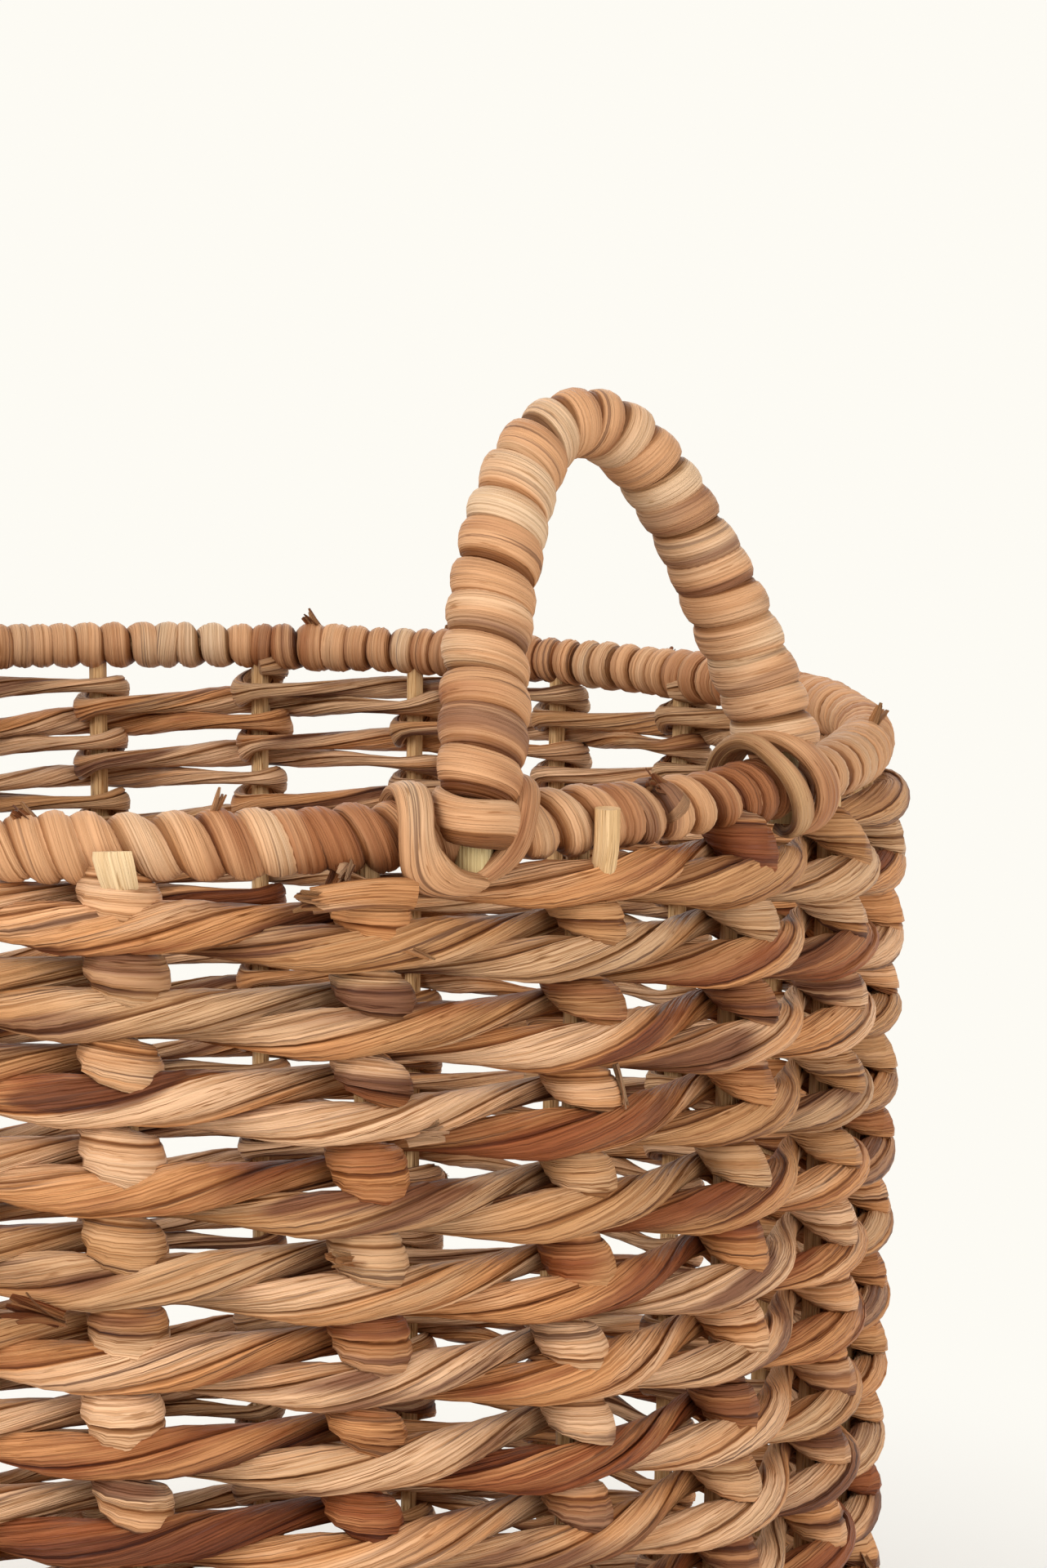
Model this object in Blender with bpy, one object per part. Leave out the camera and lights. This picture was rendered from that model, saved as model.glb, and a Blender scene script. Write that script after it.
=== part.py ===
"""Round open-weave water hyacinth basket with two loop handles.

Units are metres, +Z is up, the origin is on the floor under the middle of the base,
and the handles stand at +X and -X.
"""

import math

import bmesh
import bpy
from mathutils import Vector

# Clearance between pieces that touch on the real basket
CLEARANCE = 0.0003

# Rattan stakes: long rods that cross under the base and rise on both sides
STAKE_COUNT = 24
STAKE_DIAMETER = 0.0056
STAKE_SIDES_RESOLUTION = 1
FOOT_CIRCLE_RADIUS = 0.195
FOOT_BEND_RADIUS = 0.045
FOOT_BEND_STEPS = 5
WALL_FLARE = math.radians(0.9)

# Crossing of the rods in the middle of the base
RODS_PER_GROUP = 6
SLATH_ROD_GAP = 0.0005
SLATH_REACH = 0.033
PAIRS_START_RADIUS = 0.046
PAIRS_END_RADIUS = 0.084
SPREAD_RADIUS = 0.097
BINDING_STRAND_DIAMETER = 0.0084

# Woven strands, which swell where they pass outside a stake and draw in where they pass inside it
ROW_SPACING = 0.0096
ROW_GAP = 0.0008
FLOAT_SWELL_SHARE = 0.34
FLOAT_THICKNESS = 0.0108
BACK_THICKNESS = 0.0086
WEAVER_COUNT = 6
STEPS_PER_LENGTH = 48
LENGTHS_PER_WEAVER = 3

# Strands of the base, pressed flat underneath where the basket stands on them
BASE_STRAND_THICKNESS = 0.0086
BASE_STRAND_FACE_SHARE = 0.55
BASE_WEAVER_COUNT = 2
LANDING_LENGTH = 0.0040

# Rim
HOOP_DIAMETER = 0.0056
HOOP_SIDES = 6
RIM_ROLL_DIAMETER = 0.0148
RIM_SEGMENTS = 48
RIM_ARC_STEPS = 9
CHANNEL_ARC_STEPS = 4

# Loop handles, with half their span as a share of the stakes' spacing
HANDLE_HALF_SPAN_SHARE = 1.0
HANDLE_RISE = 0.0865
HANDLE_LEAN = math.radians(13.4)
HANDLE_SIDES_CURVE_SHARE = 0.92
HANDLE_TOP_CURVE_SHARE = 1.8
HANDLE_CORE_DIAMETER = 0.0120
HANDLE_CORE_STEPS = 20
HANDLE_LINE_SAMPLES = 400
HANDLE_LINE_FINE_SAMPLES = 16000
HANDLE_CORE_SIDES = 8
WINDING_THICKNESS = 0.0036
WINDING_CROWN_SHARE = 0.45
WINDING_TURNS = 22
WINDING_STEPS_PER_TURN = 8
WINDING_GAP = 0.0009

# Strand that lashes each foot of a handle to the rim
LASHING_THICKNESS = 0.0030
LASHING_WIDTH = 0.0080
LASHING_EDGE_SHARE = 0.6
LASHING_HEIGHT = 0.0165
LASHING_REACH = 0.0130
LASHING_DRAW_SHARE = 0.6
LASHING_FIRST_TURN = math.radians(20)
LASHING_LAST_TURN = math.radians(190)
LASHING_STEPS = 11

# Colour and roughness of the two plants
RATTAN_FINISH = ((0.78, 0.62, 0.38), 0.55)
HYACINTH_FINISH = ((0.55, 0.33, 0.16), 0.7)
CREASE_ANGLE = math.radians(50)

# Sizes worked out from the ones above
stake_radius = STAKE_DIAMETER / 2
hoop_radius = HOOP_DIAMETER / 2
rim_roll_radius = RIM_ROLL_DIAMETER / 2
float_height = (ROW_SPACING - ROW_GAP) * (1 + FLOAT_SWELL_SHARE)
back_height = (ROW_SPACING - ROW_GAP) * (1 - FLOAT_SWELL_SHARE)
base_strand_width = ROW_SPACING - ROW_GAP
stake_angle = math.tau / STAKE_COUNT
pair_angle = 2 * stake_angle
slath_step = STAKE_DIAMETER + SLATH_ROD_GAP
flat_radius = FOOT_CIRCLE_RADIUS - FOOT_BEND_RADIUS
bend_turn = math.pi / 2 - WALL_FLARE
bend_length = FOOT_BEND_RADIUS * bend_turn
bend_facet_depth = FOOT_BEND_RADIUS * (1 - math.cos(bend_turn / FOOT_BEND_STEPS / 2))
wall_rise_per_stake = ROW_SPACING * WEAVER_COUNT / STAKE_COUNT
base_step_per_stake = ROW_SPACING * BASE_WEAVER_COUNT / STAKE_COUNT
stakes_between_weavers = STAKE_COUNT // WEAVER_COUNT
handle_half_angle = HANDLE_HALF_SPAN_SHARE * stake_angle
steps_per_weaver = STEPS_PER_LENGTH * LENGTHS_PER_WEAVER


def strand_offset(thickness, thickest, run, turn=0.0):
    """Distance from the stakes' line to the middle of a strand that passes beside a stake.

    The strand runs straight to its next crossing, which lies at a distance of run and may lie
    round a turn, so its slope brings it nearer to the stake.
    """
    slope = 2 * (thickest / 2 + stake_radius + CLEARANCE) / run + math.tan(turn)
    return thickness / 2 + (stake_radius + CLEARANCE) * math.hypot(1, slope)


pairs_apart = 2 * PAIRS_START_RADIUS * math.sin(pair_angle / 2) - slath_step
stakes_apart = 2 * flat_radius * math.sin(stake_angle / 2)
base_offset = strand_offset(BASE_STRAND_THICKNESS, BASE_STRAND_THICKNESS, pairs_apart)
float_offset = strand_offset(FLOAT_THICKNESS, FLOAT_THICKNESS, stakes_apart, stake_angle / 2)
back_offset = strand_offset(BACK_THICKNESS, FLOAT_THICKNESS, stakes_apart, stake_angle / 2)
base_mid_height = base_offset + BASE_STRAND_THICKNESS / 2

# Distances along the profile, counted from where the base bends up into the wall
weave_start = ROW_SPACING
weave_end = weave_start + wall_rise_per_stake * steps_per_weaver
rim_station = weave_end + float_height / 2 + LASHING_THICKNESS + rim_roll_radius + 3 * CLEARANCE
stake_tip_station = rim_station - hoop_radius - CLEARANCE


def profile(s):
    """Radius, height, outward normal and tangent of the stakes' line at distance s along it."""
    if s <= 0:
        return flat_radius + s, base_mid_height, (0.0, -1.0), (1.0, 0.0)
    turn = min(s / FOOT_BEND_RADIUS, bend_turn)
    normal = (math.sin(turn), -math.cos(turn))
    tangent = (math.cos(turn), math.sin(turn))
    beyond = max(s - bend_length, 0.0)
    radius = flat_radius + FOOT_BEND_RADIUS * normal[0] + beyond * tangent[0]
    height = base_mid_height + FOOT_BEND_RADIUS * (1 + normal[1]) + beyond * tangent[1]
    return radius, height, normal, tangent


rim_circle_radius, rim_height = profile(rim_station)[:2]


def polar(radius, angle, height):
    """Point at a radius and an angle round the basket."""
    return Vector((radius * math.cos(angle), radius * math.sin(angle), height))


def wall_point(angle, s, out=0.0, along=0.0):
    """Point on the wall, moved out along its normal and up along its tangent."""
    radius, height, normal, tangent = profile(s)
    return polar(
        radius + out * normal[0] + along * tangent[0],
        angle,
        height + out * normal[1] + along * tangent[1],
    )


def plant_material(name, finish):
    """Dry plant fibre of one colour."""
    colour, roughness = finish
    material = bpy.data.materials.new(name)
    material.use_nodes = True
    shader = material.node_tree.nodes["Principled BSDF"]
    shader.inputs["Base Color"].default_value = (*colour, 1.0)
    shader.inputs["Roughness"].default_value = roughness
    shader.inputs["Metallic"].default_value = 0.0
    return material


def add_object(name, data, finish):
    """Links a finished mesh or curve to the scene, with a material of its own."""
    obj = bpy.data.objects.new(name, data)
    obj.data.materials.append(plant_material(name, finish))
    bpy.context.scene.collection.objects.link(obj)
    return obj


def add_mesh(name, bm, finish):
    """Makes an object of a closed mesh, with its faces turned outwards and smooth between its creases."""
    bmesh.ops.recalc_face_normals(bm, faces=bm.faces)
    mesh = bpy.data.meshes.new(name)
    bm.to_mesh(mesh)
    bm.free()
    mesh.shade_smooth()
    mesh.set_sharp_from_angle(angle=CREASE_ANGLE)
    return add_object(name, mesh, finish)


def loft(name, sections, finish, closed=False):
    """Solid through a row of sections with equal numbers of points."""
    bm = bmesh.new()
    rings = [[bm.verts.new(point) for point in section] for section in sections]
    pairs = list(zip(rings, rings[1:]))
    if closed:
        pairs.append((rings[-1], rings[0]))
    for ring, following in pairs:
        for i in range(len(ring)):
            j = (i + 1) % len(ring)
            bm.faces.new((ring[i], ring[j], following[j], following[i]))
    if not closed:
        bm.faces.new(rings[0])
        bm.faces.new(rings[-1])
    return add_mesh(name, bm, finish)


def rod(name, points, diameter, finish, cyclic=False):
    """Round rod along a line of points."""
    curve = bpy.data.curves.new(name, "CURVE")
    curve.dimensions = "3D"
    curve.bevel_depth = diameter / 2
    curve.bevel_resolution = STAKE_SIDES_RESOLUTION
    curve.use_fill_caps = True
    spline = curve.splines.new("POLY")
    spline.points.add(len(points) - 1)
    for spline_point, point in zip(spline.points, points):
        spline_point.co = (*point, 1.0)
    spline.use_cyclic_u = cyclic
    return add_object(name, curve, finish)


# Stakes


def mitred(path, beside):
    """The path without its first point, moved sideways in plan by the same distance all along."""
    moved = []
    for i in range(1, len(path)):
        before = (path[i] - path[i - 1]).normalized()
        after = (path[i + 1] - path[i]).normalized() if i + 1 < len(path) else before
        along = (before + after).normalized()
        moved.append(path[i] + Vector((-along.y, along.x, 0.0)) * (beside / along.dot(before)))
    return moved


def stake_half(rod_index, level):
    """Half of a long rod that lies along +X in the middle of the base, from there to its upper tip.

    The rods of a group lie side by side in the middle, part into pairs, and then fan out one by one.
    """
    angle = (rod_index - (RODS_PER_GROUP - 1) / 2) * stake_angle
    pair = rod_index // 2 - (RODS_PER_GROUP // 2 - 1) / 2
    beside = (rod_index % 2 - 0.5) * slath_step
    pair_path = [Vector((0.0, pair * 2 * slath_step, 0.0)), Vector((SLATH_REACH, pair * 2 * slath_step, 0.0))]
    pair_path += [polar(radius, pair * pair_angle, 0.0) for radius in (PAIRS_START_RADIUS, PAIRS_END_RADIUS)]
    points = []
    for point, height in zip(mitred(pair_path, beside), (level, 0.0, 0.0)):
        points.append(point + Vector((0.0, 0.0, base_mid_height + height)))
    points.append(polar(SPREAD_RADIUS, angle, base_mid_height))
    for step in range(FOOT_BEND_STEPS + 1):
        points.append(wall_point(angle, bend_length * step / FOOT_BEND_STEPS))
    points.append(wall_point(angle, stake_tip_station))
    return points


def make_stakes():
    """Twelve long rods in two groups that cross in the middle, each with two upright ends."""
    level = (STAKE_DIAMETER + CLEARANCE) / 2
    for group, height in enumerate((-level, level)):
        for rod_index in range(RODS_PER_GROUP):
            half = stake_half(rod_index, height)
            mirrored = [Vector((-p.x, p.y, p.z)) for p in reversed(half)]
            points = mirrored + half
            if group == 1:
                points = [Vector((-p.y, p.x, p.z)) for p in points]
            number = group * RODS_PER_GROUP + rod_index + 1
            rod(f"stake_rod_{number:02d}", points, STAKE_DIAMETER, RATTAN_FINISH)


# Woven strands


def stake_direction(index):
    """Angle of a stake round the basket."""
    return (index + 0.5) * stake_angle


def wall_section(angle, s, outside):
    """Section of a strand in the wall where it passes a stake, swollen outside and drawn in inside."""
    height = float_height if outside else back_height
    thickness = FLOAT_THICKNESS if outside else BACK_THICKNESS
    offset = float_offset if outside else -back_offset
    if s < bend_length and not outside:
        offset -= bend_facet_depth
    outline = ((thickness / 2, 0.0), (0.0, height / 2), (-thickness / 2, 0.0), (0.0, -height / 2))
    return [wall_point(angle, s, offset + out, along) for out, along in outline]


def make_wall_length(name, weaver, first, last):
    """One length of a weaver, which passes outside and inside the stakes by turns and rises as it goes."""
    start = -weaver * stakes_between_weavers
    tip = CLEARANCE / flat_radius
    sections = []
    for index in range(first, last + 1):
        angle = stake_direction(index) + tip * ((index == first) - (index == last))
        s = weave_start + wall_rise_per_stake * (index - start)
        sections.append(wall_section(angle, s, (index + weaver) % 2 == 0))
    return loft(name, sections, HYACINTH_FINISH)


def make_wall_weave():
    """Weavers that climb the wall together, each in three lengths whose ends lie inside a stake."""
    for weaver in range(WEAVER_COUNT):
        start = -weaver * stakes_between_weavers
        shift = (start + weaver + 1) % 2
        breaks = [start + shift + STEPS_PER_LENGTH * n for n in range(LENGTHS_PER_WEAVER + 1)]
        breaks[-1] -= 2 * shift
        for length, part in enumerate(("lower", "middle", "upper")):
            name = f"wall_weaver_{weaver + 1}_{part}"
            make_wall_length(name, weaver, breaks[length], breaks[length + 1])


def base_section(angle, radius, offset):
    """Section of a strand in the base, flat underneath."""
    face = BASE_STRAND_FACE_SHARE * base_strand_width / 2
    half_thickness = BASE_STRAND_THICKNESS / 2
    outline = (
        (half_thickness, face),
        (0.0, base_strand_width / 2),
        (-half_thickness, 0.0),
        (0.0, -base_strand_width / 2),
        (half_thickness, -face),
    )
    return [wall_point(angle, radius - flat_radius, offset + out, along) for out, along in outline]


def make_base_length(name, weaver, start_radius, rows, in_pairs):
    """Strand that winds inwards through the base, under and over single rods or pairs of rods by turns."""
    sections = []
    for step in range(rows * STAKE_COUNT // BASE_WEAVER_COUNT):
        index = step + weaver * STAKE_COUNT // BASE_WEAVER_COUNT
        radius = start_radius - base_step_per_stake * step
        group = (index + 1) // 2 if in_pairs else index
        below = (group + weaver) % 2 == 0
        half_landing = LANDING_LENGTH / 2 / radius
        angle = stake_direction(index)
        angles = (angle - half_landing, angle + half_landing) if below else (angle,)
        if in_pairs:
            beside_pair_line = 1 if index % 2 == 0 else -1
            angles = (group * pair_angle + beside_pair_line * math.asin(slath_step / 2 / radius),)
        offset = base_offset if below else -base_offset
        sections += [base_section(angle, radius, offset) for angle in angles]
    return loft(name, sections, HYACINTH_FINISH)


def make_base_weave():
    """Strands that wind round the middle of the base over pairs of rods, and further out over single rods."""
    outer_start = flat_radius
    outer_rows = int((outer_start - SPREAD_RADIUS - base_strand_width / 2) / ROW_SPACING)
    inner_start = PAIRS_END_RADIUS - base_strand_width / 2
    inner_rows = int((inner_start - PAIRS_START_RADIUS - base_strand_width / 2) / ROW_SPACING)
    for weaver in range(BASE_WEAVER_COUNT):
        make_base_length(f"base_weaver_outer_{weaver + 1}", weaver, outer_start, outer_rows, False)
        make_base_length(f"base_weaver_inner_{weaver + 1}", weaver, inner_start, inner_rows, True)


def make_binding():
    """Closed strand that locks the crossing: over the lower group of rods and under the upper one."""
    radius = BINDING_STRAND_DIAMETER / 2
    lift = stake_radius + CLEARANCE + radius - (STAKE_DIAMETER + CLEARANCE) / 2
    group_half_width = (RODS_PER_GROUP - 1) / 2 * slath_step
    reach = SLATH_REACH - radius - CLEARANCE
    corner = group_half_width + radius
    points = []
    for arm in range(4):
        turn = arm * math.pi / 2
        height = base_mid_height + (lift if arm % 2 == 0 else -lift)
        for side in (-corner, corner):
            x = reach * math.cos(turn) - side * math.sin(turn)
            y = reach * math.sin(turn) + side * math.cos(turn)
            points.append(Vector((x, y, height)))
    rod("base_binding", points, BINDING_STRAND_DIAMETER, HYACINTH_FINISH, cyclic=True)


# Rim


def revolve(name, outline, finish):
    """Ring made by turning an outline of radius and height once round the basket's axis."""
    bm = bmesh.new()
    verts = [bm.verts.new((radius, 0.0, height)) for radius, height in outline]
    edges = [bm.edges.new((verts[i], verts[(i + 1) % len(verts)])) for i in range(len(verts))]
    bmesh.ops.spin(
        bm,
        geom=verts + edges,
        cent=(0.0, 0.0, 0.0),
        axis=(0.0, 0.0, 1.0),
        angle=math.tau,
        steps=RIM_SEGMENTS,
        use_merge=True,
        use_duplicate=False,
    )
    return add_mesh(name, bm, finish)


def arc(radius, start, end, steps):
    """Points of an arc round the middle of the rim's section."""
    points = []
    for step in range(steps + 1):
        angle = start + (end - start) * step / steps
        points.append((rim_circle_radius + radius * math.cos(angle), rim_height + radius * math.sin(angle)))
    return points


def make_rim():
    """Hoop on the tips of the stakes, and the strand wound round both, open below where the stakes enter."""
    revolve("rim_hoop", arc(hoop_radius, 0, math.tau, HOOP_SIDES)[:-1], RATTAN_FINISH)
    channel_half_width = stake_radius + 2 * CLEARANCE
    mouth = math.asin(channel_half_width / rim_roll_radius)
    outside = arc(rim_roll_radius, mouth - math.pi / 2, 3 * math.pi / 2 - mouth, RIM_ARC_STEPS)
    channel = arc(channel_half_width, math.pi, 0, CHANNEL_ARC_STEPS)
    revolve("rim_wrapping", outside + channel, HYACINTH_FINISH)


# Handles


def handle_point(share):
    """Centre line of the +X handle, from one foot (share 0) over the top to the other foot (share 1)."""
    half_span = rim_circle_radius * math.sin(handle_half_angle)
    foot_x = rim_circle_radius * math.cos(handle_half_angle)
    turn = math.pi * (1 - share)
    across = math.copysign(abs(math.cos(turn)) ** HANDLE_SIDES_CURVE_SHARE, math.cos(turn)) * half_span
    up = max(math.sin(turn), 0.0) ** HANDLE_TOP_CURVE_SHARE * HANDLE_RISE
    return Vector((foot_x - up * math.tan(HANDLE_LEAN), across, rim_height + up))


class HandleLine:
    """The handle's centre line, read at any distance from its first foot."""

    def __init__(self):
        fine_count = HANDLE_LINE_FINE_SAMPLES
        fine = [handle_point(i / fine_count) for i in range(fine_count + 1)]
        lengths = [0.0]
        for a, b in zip(fine, fine[1:]):
            lengths.append(lengths[-1] + (b - a).length)
        self.length = lengths[-1]
        self.points = []
        cursor = 0
        for i in range(HANDLE_LINE_SAMPLES + 1):
            wanted = self.length * i / HANDLE_LINE_SAMPLES
            while cursor < fine_count - 1 and lengths[cursor + 1] < wanted:
                cursor += 1
            part = (wanted - lengths[cursor]) / (lengths[cursor + 1] - lengths[cursor])
            self.points.append(fine[cursor].lerp(fine[cursor + 1], part))

    def at(self, distance):
        """Point, tangent and the two directions across the handle."""
        place = max(0.0, min(distance / self.length, 1.0)) * (len(self.points) - 1)
        i = min(int(place), len(self.points) - 2)
        point = self.points[i].lerp(self.points[i + 1], place - i)
        before = self.points[max(i - 2, 0)]
        after = self.points[min(i + 3, len(self.points) - 1)]
        tangent = (after - before).normalized()
        face = Vector((math.cos(HANDLE_LEAN), 0.0, math.sin(HANDLE_LEAN)))
        inner = face.cross(tangent).normalized()
        return point, tangent, face, inner

    def beside(self, distance, turn, radius):
        """Point at a radius from the centre line, at an angle round it."""
        point, _, face, inner = self.at(distance)
        return point + radius * (math.cos(turn) * face + math.sin(turn) * inner)


def turned(points, half_turn):
    """The points of the +X handle, or the same ones at -X."""
    sign = -1 if half_turn else 1
    return [Vector((sign * p.x, sign * p.y, p.z)) for p in points]


def make_saddle_cutter():
    """Ring a little larger than the rim roll, which cuts the feet of the handles to fit on it."""
    bpy.ops.mesh.primitive_torus_add(
        major_segments=RIM_SEGMENTS,
        minor_segments=2 * RIM_ARC_STEPS,
        location=(0.0, 0.0, rim_height),
        major_radius=rim_circle_radius,
        minor_radius=(rim_roll_radius + CLEARANCE) / math.cos(math.pi / (2 * RIM_ARC_STEPS)),
    )
    cutter = bpy.context.object
    cutter.name = "saddle_cutter"
    cutter.hide_render = True
    cutter.display_type = "WIRE"
    return cutter


def make_handle_core(name, line, half_turn, cutter):
    """Bent rod of the handle, its feet cut to sit on the rim."""
    sections = []
    for step in range(HANDLE_CORE_STEPS + 1):
        distance = line.length * step / HANDLE_CORE_STEPS
        turns = [math.tau * i / HANDLE_CORE_SIDES for i in range(HANDLE_CORE_SIDES)]
        ring = [line.beside(distance, turn, HANDLE_CORE_DIAMETER / 2) for turn in turns]
        sections.append(turned(ring, half_turn))
    core = loft(name, sections, RATTAN_FINISH)
    cut = core.modifiers.new("saddles", "BOOLEAN")
    cut.operation = "DIFFERENCE"
    cut.object = cutter
    return core


def make_handle_winding(name, line, half_turn):
    """Strand wound round the handle's core in one unbroken helix, from one lashing to the other."""
    start = (LASHING_HEIGHT + LASHING_WIDTH / 2) / math.cos(HANDLE_LEAN) + CLEARANCE
    pitch = (line.length - 2 * start) / (WINDING_TURNS + 1)
    half_band = (pitch - WINDING_GAP) / 2
    step_angle = math.tau / WINDING_STEPS_PER_TURN
    inner = (HANDLE_CORE_DIAMETER / 2 + CLEARANCE) / math.cos(step_angle / 2)
    outline = (
        (-half_band, inner),
        (half_band, inner),
        (WINDING_CROWN_SHARE * half_band, inner + WINDING_THICKNESS),
        (-WINDING_CROWN_SHARE * half_band, inner + WINDING_THICKNESS),
    )
    sections = []
    for step in range(WINDING_TURNS * WINDING_STEPS_PER_TURN + 1):
        middle = start + pitch / 2 + pitch * step / WINDING_STEPS_PER_TURN
        turn = step * step_angle
        sections.append([line.beside(middle + along, turn, radius) for along, radius in outline])
    gaps = [
        (sections[i + WINDING_STEPS_PER_TURN][edge_a] - sections[i][edge_b]).length
        for i in range(len(sections) - WINDING_STEPS_PER_TURN)
        for edge_a, edge_b in ((0, 1), (3, 2))
    ]
    print(f"{name}: {WINDING_TURNS} turns, least gap to itself {1000 * min(gaps):.2f} mm")
    return loft(name, [turned(section, half_turn) for section in sections], HYACINTH_FINISH)


def lashing_half(line, distance, leg_angle, side):
    """Points of a lashing and its outward directions there, from the leg's front down round the rim
    to behind it, on one side of the leg.
    """
    rim_facet_depth = rim_circle_radius * (1 - math.cos(math.pi / RIM_SEGMENTS))
    all_turn = LASHING_FIRST_TURN + LASHING_LAST_TURN
    inner = (rim_roll_radius + rim_facet_depth + CLEARANCE) / math.cos(all_turn / LASHING_STEPS / 2)
    leg_point, _, face, _ = line.at(distance)
    leg_middle = (HANDLE_CORE_DIAMETER + LASHING_THICKNESS) / 2 + CLEARANCE
    track = [(leg_point + leg_middle * face, face)]
    for step in range(LASHING_STEPS + 1):
        turn = LASHING_FIRST_TURN - all_turn * step / LASHING_STEPS
        drawn_in = LASHING_DRAW_SHARE * (1 - math.sin(turn)) / 2
        angle = leg_angle + side * LASHING_REACH * (1 - drawn_in) / rim_circle_radius
        out = polar(math.cos(turn), angle, math.sin(turn))
        centre = polar(rim_circle_radius, angle, rim_height)
        track.append((centre + (inner + LASHING_THICKNESS / 2) * out, out))
    track.append((leg_point - leg_middle * face, -face))
    return track


def make_lashing(name, line, foot_at_end, half_turn):
    """Closed strand that crosses a leg in front and behind, and whose two sides draw together under
    the rim as a V.
    """
    distance = LASHING_HEIGHT / math.cos(HANDLE_LEAN)
    halfway = distance / 2
    if foot_at_end:
        distance = line.length - distance
        halfway = line.length - halfway
    leg_middle = line.at(halfway)[0]
    leg_angle = math.atan2(leg_middle.y, leg_middle.x)
    down = lashing_half(line, distance, leg_angle, 1)
    up = lashing_half(line, distance, leg_angle, -1)
    track = down + up[-2:0:-1]
    sections = []
    for i, (point, out) in enumerate(track):
        along = (track[(i + 1) % len(track)][0] - track[i - 1][0]).normalized()
        wide = along.cross(out).normalized() * LASHING_WIDTH / 2
        thick = out * LASHING_THICKNESS / 2
        edge = LASHING_EDGE_SHARE * wide
        section = (point - thick - wide, point - thick + wide, point + thick + edge, point + thick - edge)
        sections.append(turned(section, half_turn))
    return loft(name, sections, HYACINTH_FINISH, closed=True)


def make_handles():
    """Two loop handles, each a bent core, its winding and the lashings of its two feet."""
    line = HandleLine()
    cutter = make_saddle_cutter()
    for which, half_turn in (("right", False), ("left", True)):
        make_handle_core(f"{which}_handle_core", line, half_turn, cutter)
        make_handle_winding(f"{which}_handle_winding", line, half_turn)
        for number, foot_at_end in ((1, False), (2, True)):
            make_lashing(f"{which}_handle_lashing_{number}", line, foot_at_end, half_turn)


def build():
    """Clears the scene and makes the whole basket."""
    for obj in list(bpy.data.objects):
        bpy.data.objects.remove(obj)
    make_stakes()
    make_binding()
    make_base_weave()
    make_wall_weave()
    make_rim()
    make_handles()


build()
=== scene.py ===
import logging
import math
from dataclasses import dataclass, field, replace
from enum import Enum

import bpy
import numpy as np
from mathutils import Matrix, Vector


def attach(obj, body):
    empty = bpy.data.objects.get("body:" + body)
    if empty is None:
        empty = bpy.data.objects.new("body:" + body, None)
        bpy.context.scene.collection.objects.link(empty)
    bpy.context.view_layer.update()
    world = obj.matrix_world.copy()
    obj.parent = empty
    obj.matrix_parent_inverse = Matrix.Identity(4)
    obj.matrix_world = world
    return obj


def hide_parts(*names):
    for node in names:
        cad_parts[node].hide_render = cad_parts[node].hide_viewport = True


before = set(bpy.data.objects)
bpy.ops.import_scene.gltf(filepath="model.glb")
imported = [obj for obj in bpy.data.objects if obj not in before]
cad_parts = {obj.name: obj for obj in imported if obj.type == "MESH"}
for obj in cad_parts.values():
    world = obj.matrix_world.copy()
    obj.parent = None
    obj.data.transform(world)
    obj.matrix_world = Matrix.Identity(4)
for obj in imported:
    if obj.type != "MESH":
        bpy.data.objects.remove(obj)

LOG = logging.getLogger("basket")
Points = np.ndarray
Keys = tuple[tuple[float, float], ...]
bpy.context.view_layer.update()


# Form of the basket


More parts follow.
